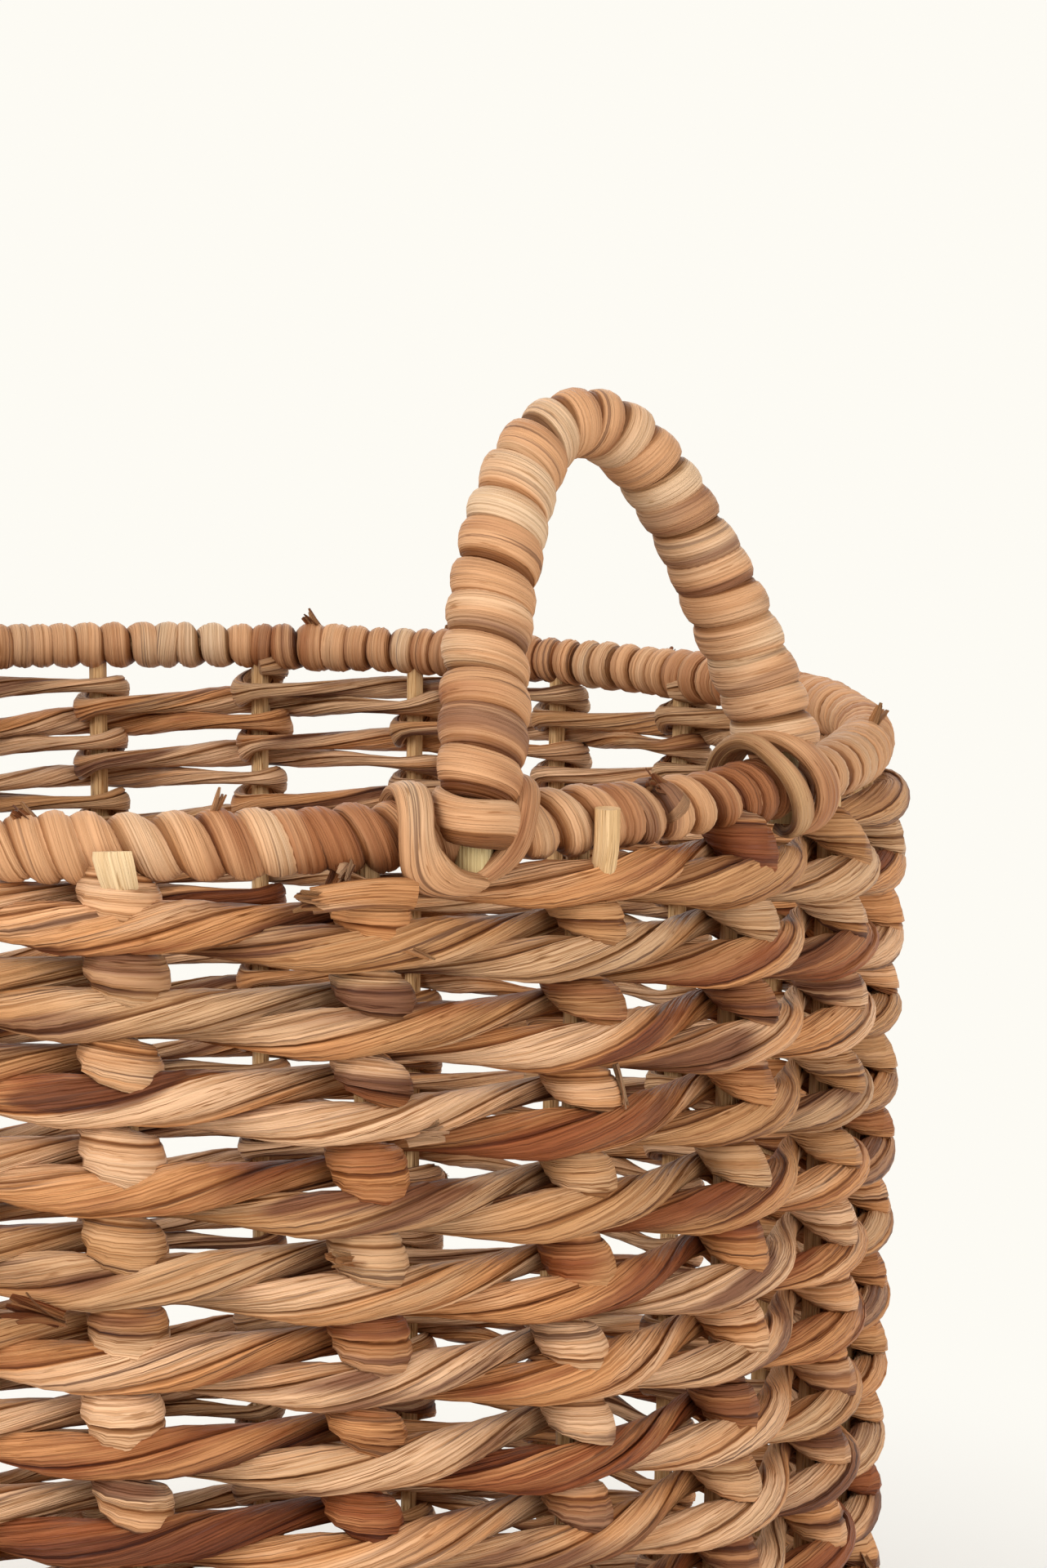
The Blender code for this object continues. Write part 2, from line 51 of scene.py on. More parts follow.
@dataclass(frozen=True)
class BasketForm:
    """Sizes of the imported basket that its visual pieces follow, in metres."""

    stake_count: int = 24
    stake_radius: float = 0.0028
    foot_circle_radius: float = 0.195
    foot_bend_radius: float = 0.045
    wall_flare: float = math.radians(0.9)
    base_mid_height: float = 0.01264
    row_spacing: float = 0.0096
    weaver_count: int = 6
    steps_per_length: int = 48
    lengths_per_weaver: int = 3
    rim_circle_radius: float = 0.19974
    rim_height: float = 0.35931
    rim_roll_radius: float = 0.0074
    clearance: float = 0.0003

    @property
    def stake_angle(self) -> float:
        """Angle between two stakes."""
        return math.tau / self.stake_count

    @property
    def flat_radius(self) -> float:
        """Radius at which the base bends up into the wall."""
        return self.foot_circle_radius - self.foot_bend_radius

    @property
    def rise_per_stake(self) -> float:
        """Climb of a weaver from one stake to the next."""
        return self.row_spacing * self.weaver_count / self.stake_count

    def stake_direction(self, index: float) -> float:
        """Angle of a stake round the basket."""
        return (index + 0.5) * self.stake_angle

    def profile(self, station: Points) -> tuple[Points, Points, Points, Points]:
        """Line of the stakes from the base up the wall.

        Args:
            station: Distances along the line, counted from the foot of the bend.

        Returns:
            Radius, height, and the sine and cosine of the line's turn from level to upright.
        """
        bend_turn = math.pi / 2 - self.wall_flare
        turn = np.clip(station / self.foot_bend_radius, 0.0, bend_turn)
        beyond = np.maximum(station - self.foot_bend_radius * bend_turn, 0.0)
        sine, cosine = np.sin(turn), np.cos(turn)
        radius = self.flat_radius + np.minimum(station, 0.0) + self.foot_bend_radius * sine + beyond * cosine
        height = self.base_mid_height + self.foot_bend_radius * (1 - cosine) + beyond * sine
        return radius, height, sine, cosine

    @property
    def rim_station(self) -> float:
        """Distance along the stakes' line at which the rim's middle lies."""
        bend_turn = math.pi / 2 - self.wall_flare
        bend_height = self.base_mid_height + self.foot_bend_radius * (1 - math.cos(bend_turn))
        return self.foot_bend_radius * bend_turn + (self.rim_height - bend_height) / math.sin(bend_turn)

    def place(self, angle: Points, station: Points, out: Points,
              along: Points) -> tuple[Points, Points, Points]:
        """Points beside the stakes' line, with the directions up the wall and out of it at each.

        Args:
            angle: Angles round the basket.
            station: Distances along the stakes' line.
            out: Distances outwards from the line.
            along: Distances up the line from each station.

        Returns:
            The points and the unit directions up the wall and outwards, as rows of X, Y and Z.
        """
        radius, height, sine, cosine = self.profile(station)
        distance = radius + out * sine + along * cosine
        level = height - out * cosine + along * sine
        points = np.stack([distance * np.cos(angle), distance * np.sin(angle), level], axis=-1)
        up = np.stack([cosine * np.cos(angle), cosine * np.sin(angle), sine], axis=-1)
        outwards = np.stack([sine * np.cos(angle), sine * np.sin(angle), -cosine], axis=-1)
        return points, up, outwards

    def on_rim(self, angle: Points, turn: Points, radius: Points) -> tuple[Points, Points]:
        """Points round the rim's roll.

        Args:
            angle: Angles round the basket.
            turn: Angles round the roll, from outwards over upwards to inwards.
            radius: Distances from the middle of the roll.

        Returns:
            The points and the unit directions away from the roll's middle.
        """
        away = np.stack([np.cos(turn) * np.cos(angle), np.cos(turn) * np.sin(angle),
                         np.sin(turn) + 0.0 * angle], axis=-1)
        hub = np.stack([self.rim_circle_radius * np.cos(angle), self.rim_circle_radius * np.sin(angle),
                        self.rim_height + 0.0 * angle], axis=-1)
        return hub + radius[..., None] * away, away


FORM = BasketForm()


# Helpers


def unit(vectors: Points) -> Points:
    """The vectors at length one."""
    return vectors / np.linalg.norm(vectors, axis=-1, keepdims=True)


def travelled(points: Points) -> Points:
    """Distance along a line of points at each of them."""
    return np.concatenate([[0.0], np.cumsum(np.linalg.norm(np.diff(points, axis=0), axis=1))])


def ease(share: Points) -> Points:
    """Share that starts and ends gently."""
    return share * share * (3 - 2 * share)


def keyed(share: Points, keys: Keys) -> Points:
    """Values that pass gently from one key to the next.

    Args:
        share: Places between 0 and 1.
        keys: Pairs of place and value, in order.

    Returns:
        The value at each place.
    """
    places, values = (np.array(column) for column in zip(*keys))
    index = np.clip(np.searchsorted(places, share, side="right") - 1, 0, len(places) - 2)
    part = (share - places[index]) / (places[index + 1] - places[index])
    return values[index] + (values[index + 1] - values[index]) * ease(np.clip(part, 0.0, 1.0))


def wander(rng: np.random.Generator, count: int, stride: float, closed: bool = False) -> Points:
    """Smooth irregular series between about -1 and 1.

    Args:
        rng: Seeded source of the draws.
        count: Number of values.
        stride: Number of values from one drawn value to the next.
        closed: True if the last value meets the first one.

    Returns:
        The series.
    """
    knots = max(int(round(count / stride)), 1) + 3
    drawn = rng.uniform(-1.0, 1.0, knots)
    if closed:
        drawn[-3:] = drawn[:3]
    place = np.arange(count) / count * (knots - 3)
    index = place.astype(int)
    part = place - index
    before, a, b, after = (drawn[np.maximum(index + shift, 0)] for shift in range(-1, 3))
    if closed:
        before = drawn[(index - 1) % (knots - 3)]
    return 0.5 * (2 * a + (b - before) * part + (2 * before - 5 * a + 4 * b - after) * part**2
                  + (3 * a - before - 3 * b + after) * part**3)


def softened(values: Points, rounds: int) -> Points:
    """The series with its corners rounded off.

    Args:
        values: The series.
        rounds: How often each value is averaged with its neighbours.

    Returns:
        The softer series, with its first and last values kept.
    """
    for _ in range(rounds):
        inner = (values[:-2] + 2 * values[1:-1] + values[2:]) / 4
        values = np.concatenate([values[:1], inner, values[-1:]])
    return values


def select_none() -> None:
    """Leaves object mode with nothing selected."""
    if bpy.context.object is not None and bpy.context.object.mode != "OBJECT":
        bpy.ops.object.mode_set(mode="OBJECT")
    bpy.ops.object.select_all(action="DESELECT")


# Strands


@dataclass(frozen=True)
class Section:
    """Outline of a strand: its stems lie side by side, and each edge laps a little over the next stem; its
    grooves and tucked edges get painted shade.
    """

    stems: tuple[float, ...] = (0.0, 2.2, 4.1)
    places: tuple[float, ...] = (0.0, 0.07, 0.3, 0.52, 0.74, 0.93)
    relief: tuple[float, ...] = (0.80, 0.91, 0.98, 1.02, 1.04, 1.01)
    tone_spread: float = 0.30
    # Painted shade: darkening of the edge that tucks under the next stem or turn, where shade falls. These
    # give its strength, the sine of the turn where it starts, and the span over which it deepens.
    painted_edge_shade: float = 0.36
    edge_from: float = 0.66
    edge_span: float = 0.27
    start_spread: float = 0.25

    def lines(self, rng: np.random.Generator) -> tuple[Points, Points, Points, Points]:
        """Lines that run along the strand.

        Args:
            rng: Seeded source of the stems' sizes and tones.

        Returns:
            For each line its angle, its relief, its stem's number and its stem's tone.
        """
        starts = np.array(self.stems) + rng.uniform(-self.start_spread, self.start_spread, len(self.stems))
        ends = np.append(starts[1:], starts[0] + math.tau)
        tones = rng.uniform(-1.0, 1.0, len(starts)) * self.tone_spread
        angles, relief, stem, tone = [], [], [], []
        for number, (start, end) in enumerate(zip(starts, ends)):
            for place, height in zip(self.places, self.relief):
                angles.append(start + (end - start) * place)
                relief.append(height)
                stem.append(number)
                tone.append(tones[number])
        return np.array(angles), np.array(relief), np.array(stem), np.array(tone)


@dataclass
class Track:
    """Way that a strand takes, ring by ring."""

    centre: Points
    wide: Points
    half_thick: Points
    half_wide: Points
    twist: Points
    tone: Points
    closed: bool = False
    tilt: float = 0.0

    def axes(self) -> tuple[Points, Points, Points]:
        """Directions across the strand and distance along it.

        Returns:
            The direction of its thickness, the direction of its width and the distance at each ring.
        """
        if self.closed:
            along = np.roll(self.centre, -1, axis=0) - np.roll(self.centre, 1, axis=0)
        else:
            along = np.gradient(self.centre, axis=0)
        along = unit(along)
        out = unit(np.cross(along, self.wide))
        wide = np.cross(out, along)
        if self.tilt:
            out, wide = (math.cos(self.tilt) * out + math.sin(self.tilt) * wide,
                         math.cos(self.tilt) * wide - math.sin(self.tilt) * out)
        return out, wide, travelled(self.centre)


GRAIN_RADIUS = 0.0055
STRAND_GAP = 1.7
# Painted shade in the grooves: darkest on lines at the lowest relief, gone at that relief plus the reach.
LOWEST_RELIEF = 0.8
RELIEF_REACH = 0.2
CREASE_MEAN = 0.75
CREASE_SWING = 0.5
CREASE_STRIDE = 26.0
STEM_DRIFT = 0.16
STEM_STRIDE = 60.0
MERGE_DISTANCE = 1e-6
SMOOTH_ANGLE = math.radians(48)


class StrandMaker:
    """Makes the mesh of a strand along a track."""

    def __init__(self, section: Section, seed: int) -> None:
        """Keeps the section and starts the draws from a seed.

        Args:
            section: Outline of the strand.
            seed: Start of the draws, and of the strand's place in the fibre's pattern.
        """
        self.section = section
        self.seed = seed
        self.rng = np.random.default_rng(seed)

    def make(self, name: str, track: Track, material: bpy.types.Material) -> bpy.types.Object:
        """Shapes a grid into the strand, closes its seam and its ends, and dresses it.

        Args:
            name: Name of the new piece.
            track: Way that the strand takes.
            material: Finish of the strand.

        Returns:
            The finished piece.
        """
        points, grain, tone = self.surface(track)
        piece = self.grid(name, points.shape[0], points.shape[1])
        self.shape(piece, points, grain, tone)
        self.close(piece)
        piece.data.materials.append(material)
        return piece

    def surface(self, track: Track) -> tuple[Points, Points, Points]:
        """Points of the strand with the values that its material reads.

        Args:
            track: Way that the strand takes.

        Returns:
            Points, grain places and tones, each as rings by lines by three.
        """
        angles, relief, stem, stem_tone = self.section.lines(self.rng)
        out, wide, distance = track.axes()
        rings = len(distance)
        depth = np.stack([CREASE_MEAN + CREASE_SWING * wander(self.rng, rings, CREASE_STRIDE, track.closed)
                          for _ in self.section.stems])
        factor = 1 - depth[stem].T * (1 - relief[None, :])
        turn = angles[None, :] + track.twist[:, None]
        thick = track.half_thick[:, None] * np.cos(turn) * factor
        broad = track.half_wide[:, None] * np.sin(turn) * factor
        points = track.centre[:, None] + out[:, None] * thick[..., None] + wide[:, None] * broad[..., None]
        round_place = np.stack([np.cos(angles), np.sin(angles)], axis=-1) * GRAIN_RADIUS
        grain = np.empty_like(points)
        grain[..., 0] = distance[:, None] + self.seed * STRAND_GAP
        grain[..., 1:] = round_place[None]
        tone = np.empty_like(points)
        drift = np.stack([STEM_DRIFT * wander(self.rng, rings, STEM_STRIDE, track.closed)
                          for _ in self.section.stems])
        tone[..., 0] = track.tone[:, None] + stem_tone[None, :] + drift[stem].T
        # The tone's second value is painted shade. It is lower in the grooves between stems and on the edge
        # that tucks under its neighbour (both edges on an untilted strand), where shade falls.
        sunk = np.sin(turn) * np.sign(track.tilt) if track.tilt else np.abs(np.sin(turn))
        edge = ease(np.clip((sunk - self.section.edge_from) / self.section.edge_span, 0.0, 1.0))
        rise = np.clip((relief[None, :] - LOWEST_RELIEF) / RELIEF_REACH, 0.0, 1.0)
        tone[..., 1] = rise * (1 - self.section.painted_edge_shade * edge)
        tone[..., 2] = self.rng.uniform(0.0, 1.0)
        points, grain, tone = (np.concatenate([part, part[:, :1]], axis=1) for part in (points, grain, tone))
        if track.closed:
            return tuple(np.concatenate([part, part[:1]], axis=0) for part in (points, grain, tone))
        ends = (points[:1].mean(axis=1, keepdims=True), points[-1:].mean(axis=1, keepdims=True))
        first, last = (np.broadcast_to(end, points[:1].shape) for end in ends)
        points = np.concatenate([first, points, last], axis=0)
        grain, tone = (np.concatenate([part[:1], part, part[-1:]], axis=0) for part in (grain, tone))
        return points, grain, tone

    @staticmethod
    def grid(name: str, rings: int, lines: int) -> bpy.types.Object:
        """Adds a flat grid.

        Args:
            name: Name of the new piece.
            rings: Number of points along the strand.
            lines: Number of points round it.

        Returns:
            The grid.
        """
        select_none()
        bpy.ops.mesh.primitive_grid_add(x_subdivisions=rings - 1, y_subdivisions=lines - 1, size=1.0)
        piece = bpy.context.object
        piece.name = name
        piece.data.name = name
        return piece

    @staticmethod
    def shape(piece: bpy.types.Object, points: Points, grain: Points, tone: Points) -> None:
        """Moves the grid's points to the strand's surface and stores its grain and tone.

        Args:
            piece: The grid.
            points: Places of the points, as rings by lines by three.
            grain: Their places in the fibre's pattern.
            tone: Their tone, their painted shade in the grooves and on the tucked edges, and their chance.
        """
        mesh = piece.data
        flat = np.empty(len(mesh.vertices) * 3)
        mesh.vertices.foreach_get("co", flat)
        flat = flat.reshape(-1, 3)
        ring = np.rint((flat[:, 0] + 0.5) * (points.shape[0] - 1)).astype(int)
        line = np.rint((flat[:, 1] + 0.5) * (points.shape[1] - 1)).astype(int)
        mesh.vertices.foreach_set("co", points[ring, line].ravel())
        for label, values in (("grain", grain), ("tone", tone)):
            layer = mesh.attributes.new(label, "FLOAT_VECTOR", "POINT")
            layer.data.foreach_set("vector", values[ring, line].ravel())
        mesh.update()

    @staticmethod
    def close(piece: bpy.types.Object) -> None:
        """Merges the seam and the ends, turns the faces outwards and smooths them between sharp edges.

        Args:
            piece: The strand, whose first and last rings are single places.
        """
        bpy.ops.object.mode_set(mode="EDIT")
        bpy.ops.mesh.select_all(action="SELECT")
        bpy.ops.mesh.remove_doubles(threshold=MERGE_DISTANCE)
        bpy.ops.mesh.normals_make_consistent(inside=False)
        bpy.ops.object.mode_set(mode="OBJECT")
        bpy.ops.object.shade_smooth_by_angle(angle=SMOOTH_ANGLE)


def finish_piece(piece: bpy.types.Object, slot: str, *nodes: str) -> None:
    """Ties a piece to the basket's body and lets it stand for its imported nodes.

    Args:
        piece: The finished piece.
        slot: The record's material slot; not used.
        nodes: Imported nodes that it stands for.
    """
    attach(piece, "root")
    if nodes:
        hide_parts(*nodes)
    LOG.info("%s: %d faces", piece.name, len(piece.data.polygons))


# Finishes


# Sockets of a colour mixture, which share their names with those for numbers
MIX_FACTOR = 0
MIX_FIRST = 6
MIX_SECOND = 7
MIX_RESULT = 2
NOISE_ROUGHNESS = 0.55


class Sheet:
    """Node tree that is filled in node by node."""

    def __init__(self, tree: bpy.types.NodeTree) -> None:
        """Starts from an empty tree.

        Args:
            tree: The tree.
        """
        self.tree = tree
        tree.nodes.clear()

    def add(self, kind: str, inputs: dict | None = None, **settings) -> bpy.types.Node:
        """Adds a node.

        Args:
            kind: Type of the node.
            inputs: Values or output sockets for its inputs, by name or number.
            settings: Its other properties.

        Returns:
            The node.
        """
        node = self.tree.nodes.new(kind)
        for label, value in settings.items():
            setattr(node, label, value)
        for label, value in (inputs or {}).items():
            if isinstance(value, bpy.types.NodeSocket):
                self.tree.links.new(value, node.inputs[label])
            else:
                node.inputs[label].default_value = value
        return node

    def math(self, operation: str, a, b=0.0) -> bpy.types.NodeSocket:
        """Result of a sum on two numbers or sockets."""
        return self.add("ShaderNodeMath", {0: a, 1: b}, operation=operation).outputs[0]

    def times(self, a, b) -> bpy.types.NodeSocket:
        """Product of two numbers or sockets."""
        return self.math("MULTIPLY", a, b)

    def plus(self, a, b) -> bpy.types.NodeSocket:
        """Sum of two numbers or sockets."""
        return self.math("ADD", a, b)

    def minus(self, a, b) -> bpy.types.NodeSocket:
        """Difference of two numbers or sockets."""
        return self.math("SUBTRACT", a, b)

    def span(self, value, low: float, high: float, to_low: float = 0.0,
             to_high: float = 1.0) -> bpy.types.NodeSocket:
        """Value carried over from one span to another, without a corner at the ends.

        Args:
            value: The socket or number.
            low: Start of its span.
            high: End of its span.
            to_low: Result at the start and before it.
            to_high: Result at the end and beyond it.

        Returns:
            Socket with the result.
        """
        spans = {"Value": value, "From Min": low, "From Max": high, "To Min": to_low, "To Max": to_high}
        return self.add("ShaderNodeMapRange", spans, interpolation_type="SMOOTHSTEP").outputs[0]

    def mix(self, factor, a, b, blend: str = "MIX") -> bpy.types.NodeSocket:
        """Mixture of two colours.

        Args:
            factor: Share of the second colour.
            a: The first colour.
            b: The second colour.
            blend: How the second one acts on the first.

        Returns:
            Socket with the mixture.
        """
        inputs = {MIX_FACTOR: factor, MIX_FIRST: a, MIX_SECOND: b}
        return self.add("ShaderNodeMix", inputs, data_type="RGBA", blend_type=blend).outputs[MIX_RESULT]

    def noise(self, place, along: float, across: float, detail: float) -> bpy.types.NodeSocket:
        """Noise drawn out along the strand.

        Args:
            place: Socket with the place on the strand.
            along: Scale along the strand.
            across: Scale across it.
            detail: Octaves of the noise.

        Returns:
            Socket with the noise.
        """
        stretch = {0: place, 1: (along, across, across)}
        moved = self.add("ShaderNodeVectorMath", stretch, operation="MULTIPLY").outputs[0]
        inputs = {"Vector": moved, "Scale": 1.0, "Detail": detail, "Roughness": NOISE_ROUGHNESS}
        return self.add("ShaderNodeTexNoise", inputs).outputs[0]


Span = tuple[float, ...]


@dataclass(frozen=True)
class Fibre:
    """Dried plant fibre: noises along the strand, and the spans in which they colour and shade it.

    A noise is given by its scales along and across the strand and its octaves. A span is given by where it
    starts and ends, and where it isn't 0 to 1, by its results there.
    """

    fine: Span = (40.0, 2100.0, 2.0)
    line: Span = (17.0, 900.0, 2.0)
    band: Span = (9.0, 260.0, 2.0)
    patch: Span = (24.0, 85.0, 2.0)
    wide: Span = (13.0, 62.0, 1.0)
    fleck: Span = (130.0, 800.0, 2.0)
    band_weight: float = 0.60
    line_weight: float = 0.45
    patch_weight: float = 1.5
    warming: Span = (-0.10, 0.42)
    paling: Span = (0.42, 1.02)
    greening: Span = (0.54, 0.68)
    stain_span: Span = (0.56, 0.63)
    stain_breaks: Span = (0.38, 0.56, 0.3, 1.0)
    streak_span: Span = (0.55, 0.63)
    streak_breaks: Span = (0.50, 0.60)
    crack_span: Span = (0.0, 0.024)
    crack_breaks: Span = (0.60, 0.44)
    crack_shade: Span = (0.0, 1.0, 0.36, 1.0)
    fine_shade: Span = (0.36, 0.54, 0.66, 1.0)
    # Painted shade: span of the tone's second value over which the colour darkens, and how dark it gets.
    painted_lap_shade: Span = (0.0, 0.8, 0.30, 1.0)
    fleck_shade: Span = (0.64, 0.74, 1.0, 0.62)
    # Darkening turns redder as it deepens. This is painted warm bounced light in the shade, and it also
    # colours the fibre's own lines.
    green_power: float = 1.35
    blue_power: float = 1.8
    fine_height: float = 0.35
    line_height: float = 0.65
    height_span: Span = (0.35, 0.62)
    roughness_span: Span = (0.3, 0.7, 0.40, 0.62)

    def group(self) -> bpy.types.NodeTree:
        """Shared group that gives the colour, roughness and height of the fibre; the colour holds painted
        shade from the tone's second value.

        Returns:
            The group.
        """
        tree = bpy.data.node_groups.new("dried_fibre", "ShaderNodeTree")
        self.sockets(tree, "INPUT", "NodeSocketVector", "Grain", "Tone")
        self.sockets(tree, "INPUT", "NodeSocketColor", "Dark", "Warm", "Pale", "Green", "Streak", "Stain")
        self.sockets(tree, "INPUT", "NodeSocketFloat", "Stain Share", "Green Share", "Streak Share",
                     "Line Depth", "Line Shade")
        self.sockets(tree, "OUTPUT", "NodeSocketColor", "Colour")
        self.sockets(tree, "OUTPUT", "NodeSocketFloat", "Roughness", "Height")
        sheet = Sheet(tree)
        given = sheet.add("NodeGroupInput").outputs
        # The tone's second value is painted shade of the grooves and tucked edges.
        tone, painted_shade_mask, chance = sheet.add("ShaderNodeSeparateXYZ", {0: given["Tone"]}).outputs
        fine, line, band, patch, wide, fleck = (sheet.noise(given["Grain"], *noise) for noise in (
            self.fine, self.line, self.band, self.patch, self.wide, self.fleck))
        ribs = sheet.plus(sheet.times(sheet.minus(band, 0.5), self.band_weight),
                          sheet.times(sheet.minus(line, 0.5), self.line_weight))
        level = sheet.plus(tone, sheet.times(ribs, given["Line Shade"]))
        level = sheet.plus(level, sheet.times(sheet.minus(patch, 0.5), self.patch_weight))
        colour = sheet.mix(sheet.span(level, *self.warming), given["Dark"], given["Warm"])
        colour = sheet.mix(sheet.span(level, *self.paling), colour, given["Pale"])
        green = sheet.span(sheet.plus(sheet.times(patch, 0.5), sheet.times(chance, 0.5)), *self.greening)
        colour = sheet.mix(sheet.times(green, given["Green Share"]), colour, given["Green"])
        stain = sheet.times(sheet.span(wide, *self.stain_span), sheet.span(band, *self.stain_breaks))
        colour = sheet.mix(sheet.times(stain, given["Stain Share"]), colour, given["Stain"])
        streak = sheet.times(sheet.span(line, *self.streak_span), sheet.span(band, *self.streak_breaks))
        colour = sheet.mix(sheet.times(streak, given["Streak Share"]), colour, given["Streak"])
        ridge = sheet.math("ABSOLUTE", sheet.minus(line, 0.5))
        crack = sheet.math("MAXIMUM", sheet.span(ridge, *self.crack_span),
                           sheet.span(patch, *self.crack_breaks))
        lines = sheet.times(sheet.span(fine, *self.fine_shade), sheet.span(crack, *self.crack_shade))
        lines = sheet.minus(1.0, sheet.times(given["Line Shade"], sheet.minus(1.0, lines)))
        # The fibre's own lines and flecks, times the painted shade of the grooves and tucked edges.
        shade = sheet.times(lines, sheet.span(painted_shade_mask, *self.painted_lap_shade))
        shade = sheet.times(shade, sheet.span(fleck, *self.fleck_shade))
        # Painted bounced light: deeper darkening, both the painted shade and the fibre's own lines, turns
        # redder.
        tint = {0: shade, 1: sheet.math("POWER", shade, self.green_power),
                2: sheet.math("POWER", shade, self.blue_power)}
        colour = sheet.mix(1.0, colour, sheet.add("ShaderNodeCombineColor", tint).outputs[0], "MULTIPLY")
        height = sheet.plus(sheet.times(fine, self.fine_height), sheet.times(line, self.line_height))
        height = sheet.times(sheet.span(height, *self.height_span), given["Line Depth"])
        sheet.add("NodeGroupOutput", {"Colour": colour, "Roughness": sheet.span(fine, *self.roughness_span),
                                      "Height": height})
        return tree

    @staticmethod
    def sockets(tree: bpy.types.NodeTree, way: str, kind: str, *labels: str) -> None:
        """Gives the group sockets of one kind.

        Args:
            tree: The group.
            way: INPUT or OUTPUT.
            kind: Type of the sockets.
            labels: Their names.
        """
        for label in labels:
            tree.interface.new_socket(name=label, in_out=way, socket_type=kind)


Colour = tuple[float, float, float]


@dataclass(frozen=True)
class PlantFinish:
    """Dried plant fibre of one kind, its colours as linear light."""

    name: str
    dark: Colour
    warm: Colour
    pale: Colour
    green: Colour
    streak: Colour = (0.080, 0.024, 0.010)
    stain: Colour = (0.14, 0.036, 0.014)
    green_share: float = 0.6
    streak_share: float = 0.8
    stain_share: float = 0.85
    line_depth: float = 1.0
    line_shade: float = 1.0
    bump_strength: float = 0.8
    bump_distance: float = 0.0007
    gloss: float = 0.18
    plain_tone: tuple[float, float, float] = (0.55, 1.0, 0.3)
    reads_object: bool = False

    def material(self, group: bpy.types.NodeTree) -> bpy.types.Material:
        """Material of this finish.

        Args:
            group: The shared fibre group.

        Returns:
            A material that reads the strand's own grain, or the object's place on a plain rod.
        """
        made = bpy.data.materials.new(self.name)
        made.use_nodes = True
        sheet = Sheet(made.node_tree)
        if self.reads_object:
            place = sheet.add("ShaderNodeTexCoord").outputs["Object"]
            spun = sheet.add("ShaderNodeSeparateXYZ", {0: place}).outputs
            grain = sheet.add("ShaderNodeCombineXYZ", {0: spun[2], 1: spun[0], 2: spun[1]}).outputs[0]
            tone = sheet.add("ShaderNodeCombineXYZ", dict(enumerate(self.plain_tone))).outputs[0]
        else:
            grain = sheet.add("ShaderNodeAttribute", attribute_name="grain").outputs["Vector"]
            tone = sheet.add("ShaderNodeAttribute", attribute_name="tone").outputs["Vector"]
        fibre = sheet.add("ShaderNodeGroup", node_tree=group)
        sheet.tree.links.new(grain, fibre.inputs["Grain"])
        sheet.tree.links.new(tone, fibre.inputs["Tone"])
        for label in ("dark", "warm", "pale", "green", "streak", "stain"):
            fibre.inputs[label.title()].default_value = (*getattr(self, label), 1.0)
        for label in ("green_share", "streak_share", "stain_share", "line_depth", "line_shade"):
            fibre.inputs[label.replace("_", " ").title()].default_value = getattr(self, label)
        bump = sheet.add("ShaderNodeBump", {"Strength": self.bump_strength, "Distance": self.bump_distance,
                                            "Height": fibre.outputs["Height"]})
        shader = sheet.add("ShaderNodeBsdfPrincipled", {"Base Color": fibre.outputs["Colour"],
                                                        "Roughness": fibre.outputs["Roughness"],
                                                        "Normal": bump.outputs[0],
                                                        "Specular IOR Level": self.gloss})
        sheet.add("ShaderNodeOutputMaterial", {"Surface": shader.outputs[0]})
        return made


STRAND_FINISH = PlantFinish(
    "hyacinth_strand", dark=(0.30, 0.088, 0.028), warm=(0.66, 0.308, 0.124), pale=(0.80, 0.488, 0.285),
    green=(0.46, 0.280, 0.135), green_share=0.4)
WRAP_FINISH = PlantFinish(
    "hyacinth_wrap", dark=(0.34, 0.125, 0.046), warm=(0.65, 0.345, 0.172), pale=(0.76, 0.52, 0.325),
    green=(0.49, 0.32, 0.15), green_share=0.45, streak_share=0.7, stain_share=0.72, line_depth=0.8,
    line_shade=0.5)
RATTAN_FINISH = PlantFinish(
    "rattan", dark=(0.46, 0.26, 0.11), warm=(0.70, 0.44, 0.21), pale=(0.80, 0.56, 0.30),
    green=(0.56, 0.41, 0.19), green_share=0.4, streak_share=0.2, stain_share=0.2, line_depth=0.5,
    reads_object=True)
TIP_FINISH = PlantFinish(
    "cut_rattan", dark=(0.52, 0.30, 0.13), warm=(0.78, 0.49, 0.23), pale=(0.86, 0.62, 0.36),
    green=(0.68, 0.46, 0.22), green_share=0.1, streak_share=0.1, stain_share=0.1, line_depth=0.6,
    line_shade=0.5)
YOUNG_FINISH = PlantFinish(
    "young_rattan", dark=(0.42, 0.28, 0.12), warm=(0.56, 0.42, 0.20), pale=(0.68, 0.54, 0.29),
    green=(0.49, 0.40, 0.18), green_share=0.7, streak_share=0.1, stain_share=0.0, line_depth=0.4,
    line_shade=0.5)


# Wall


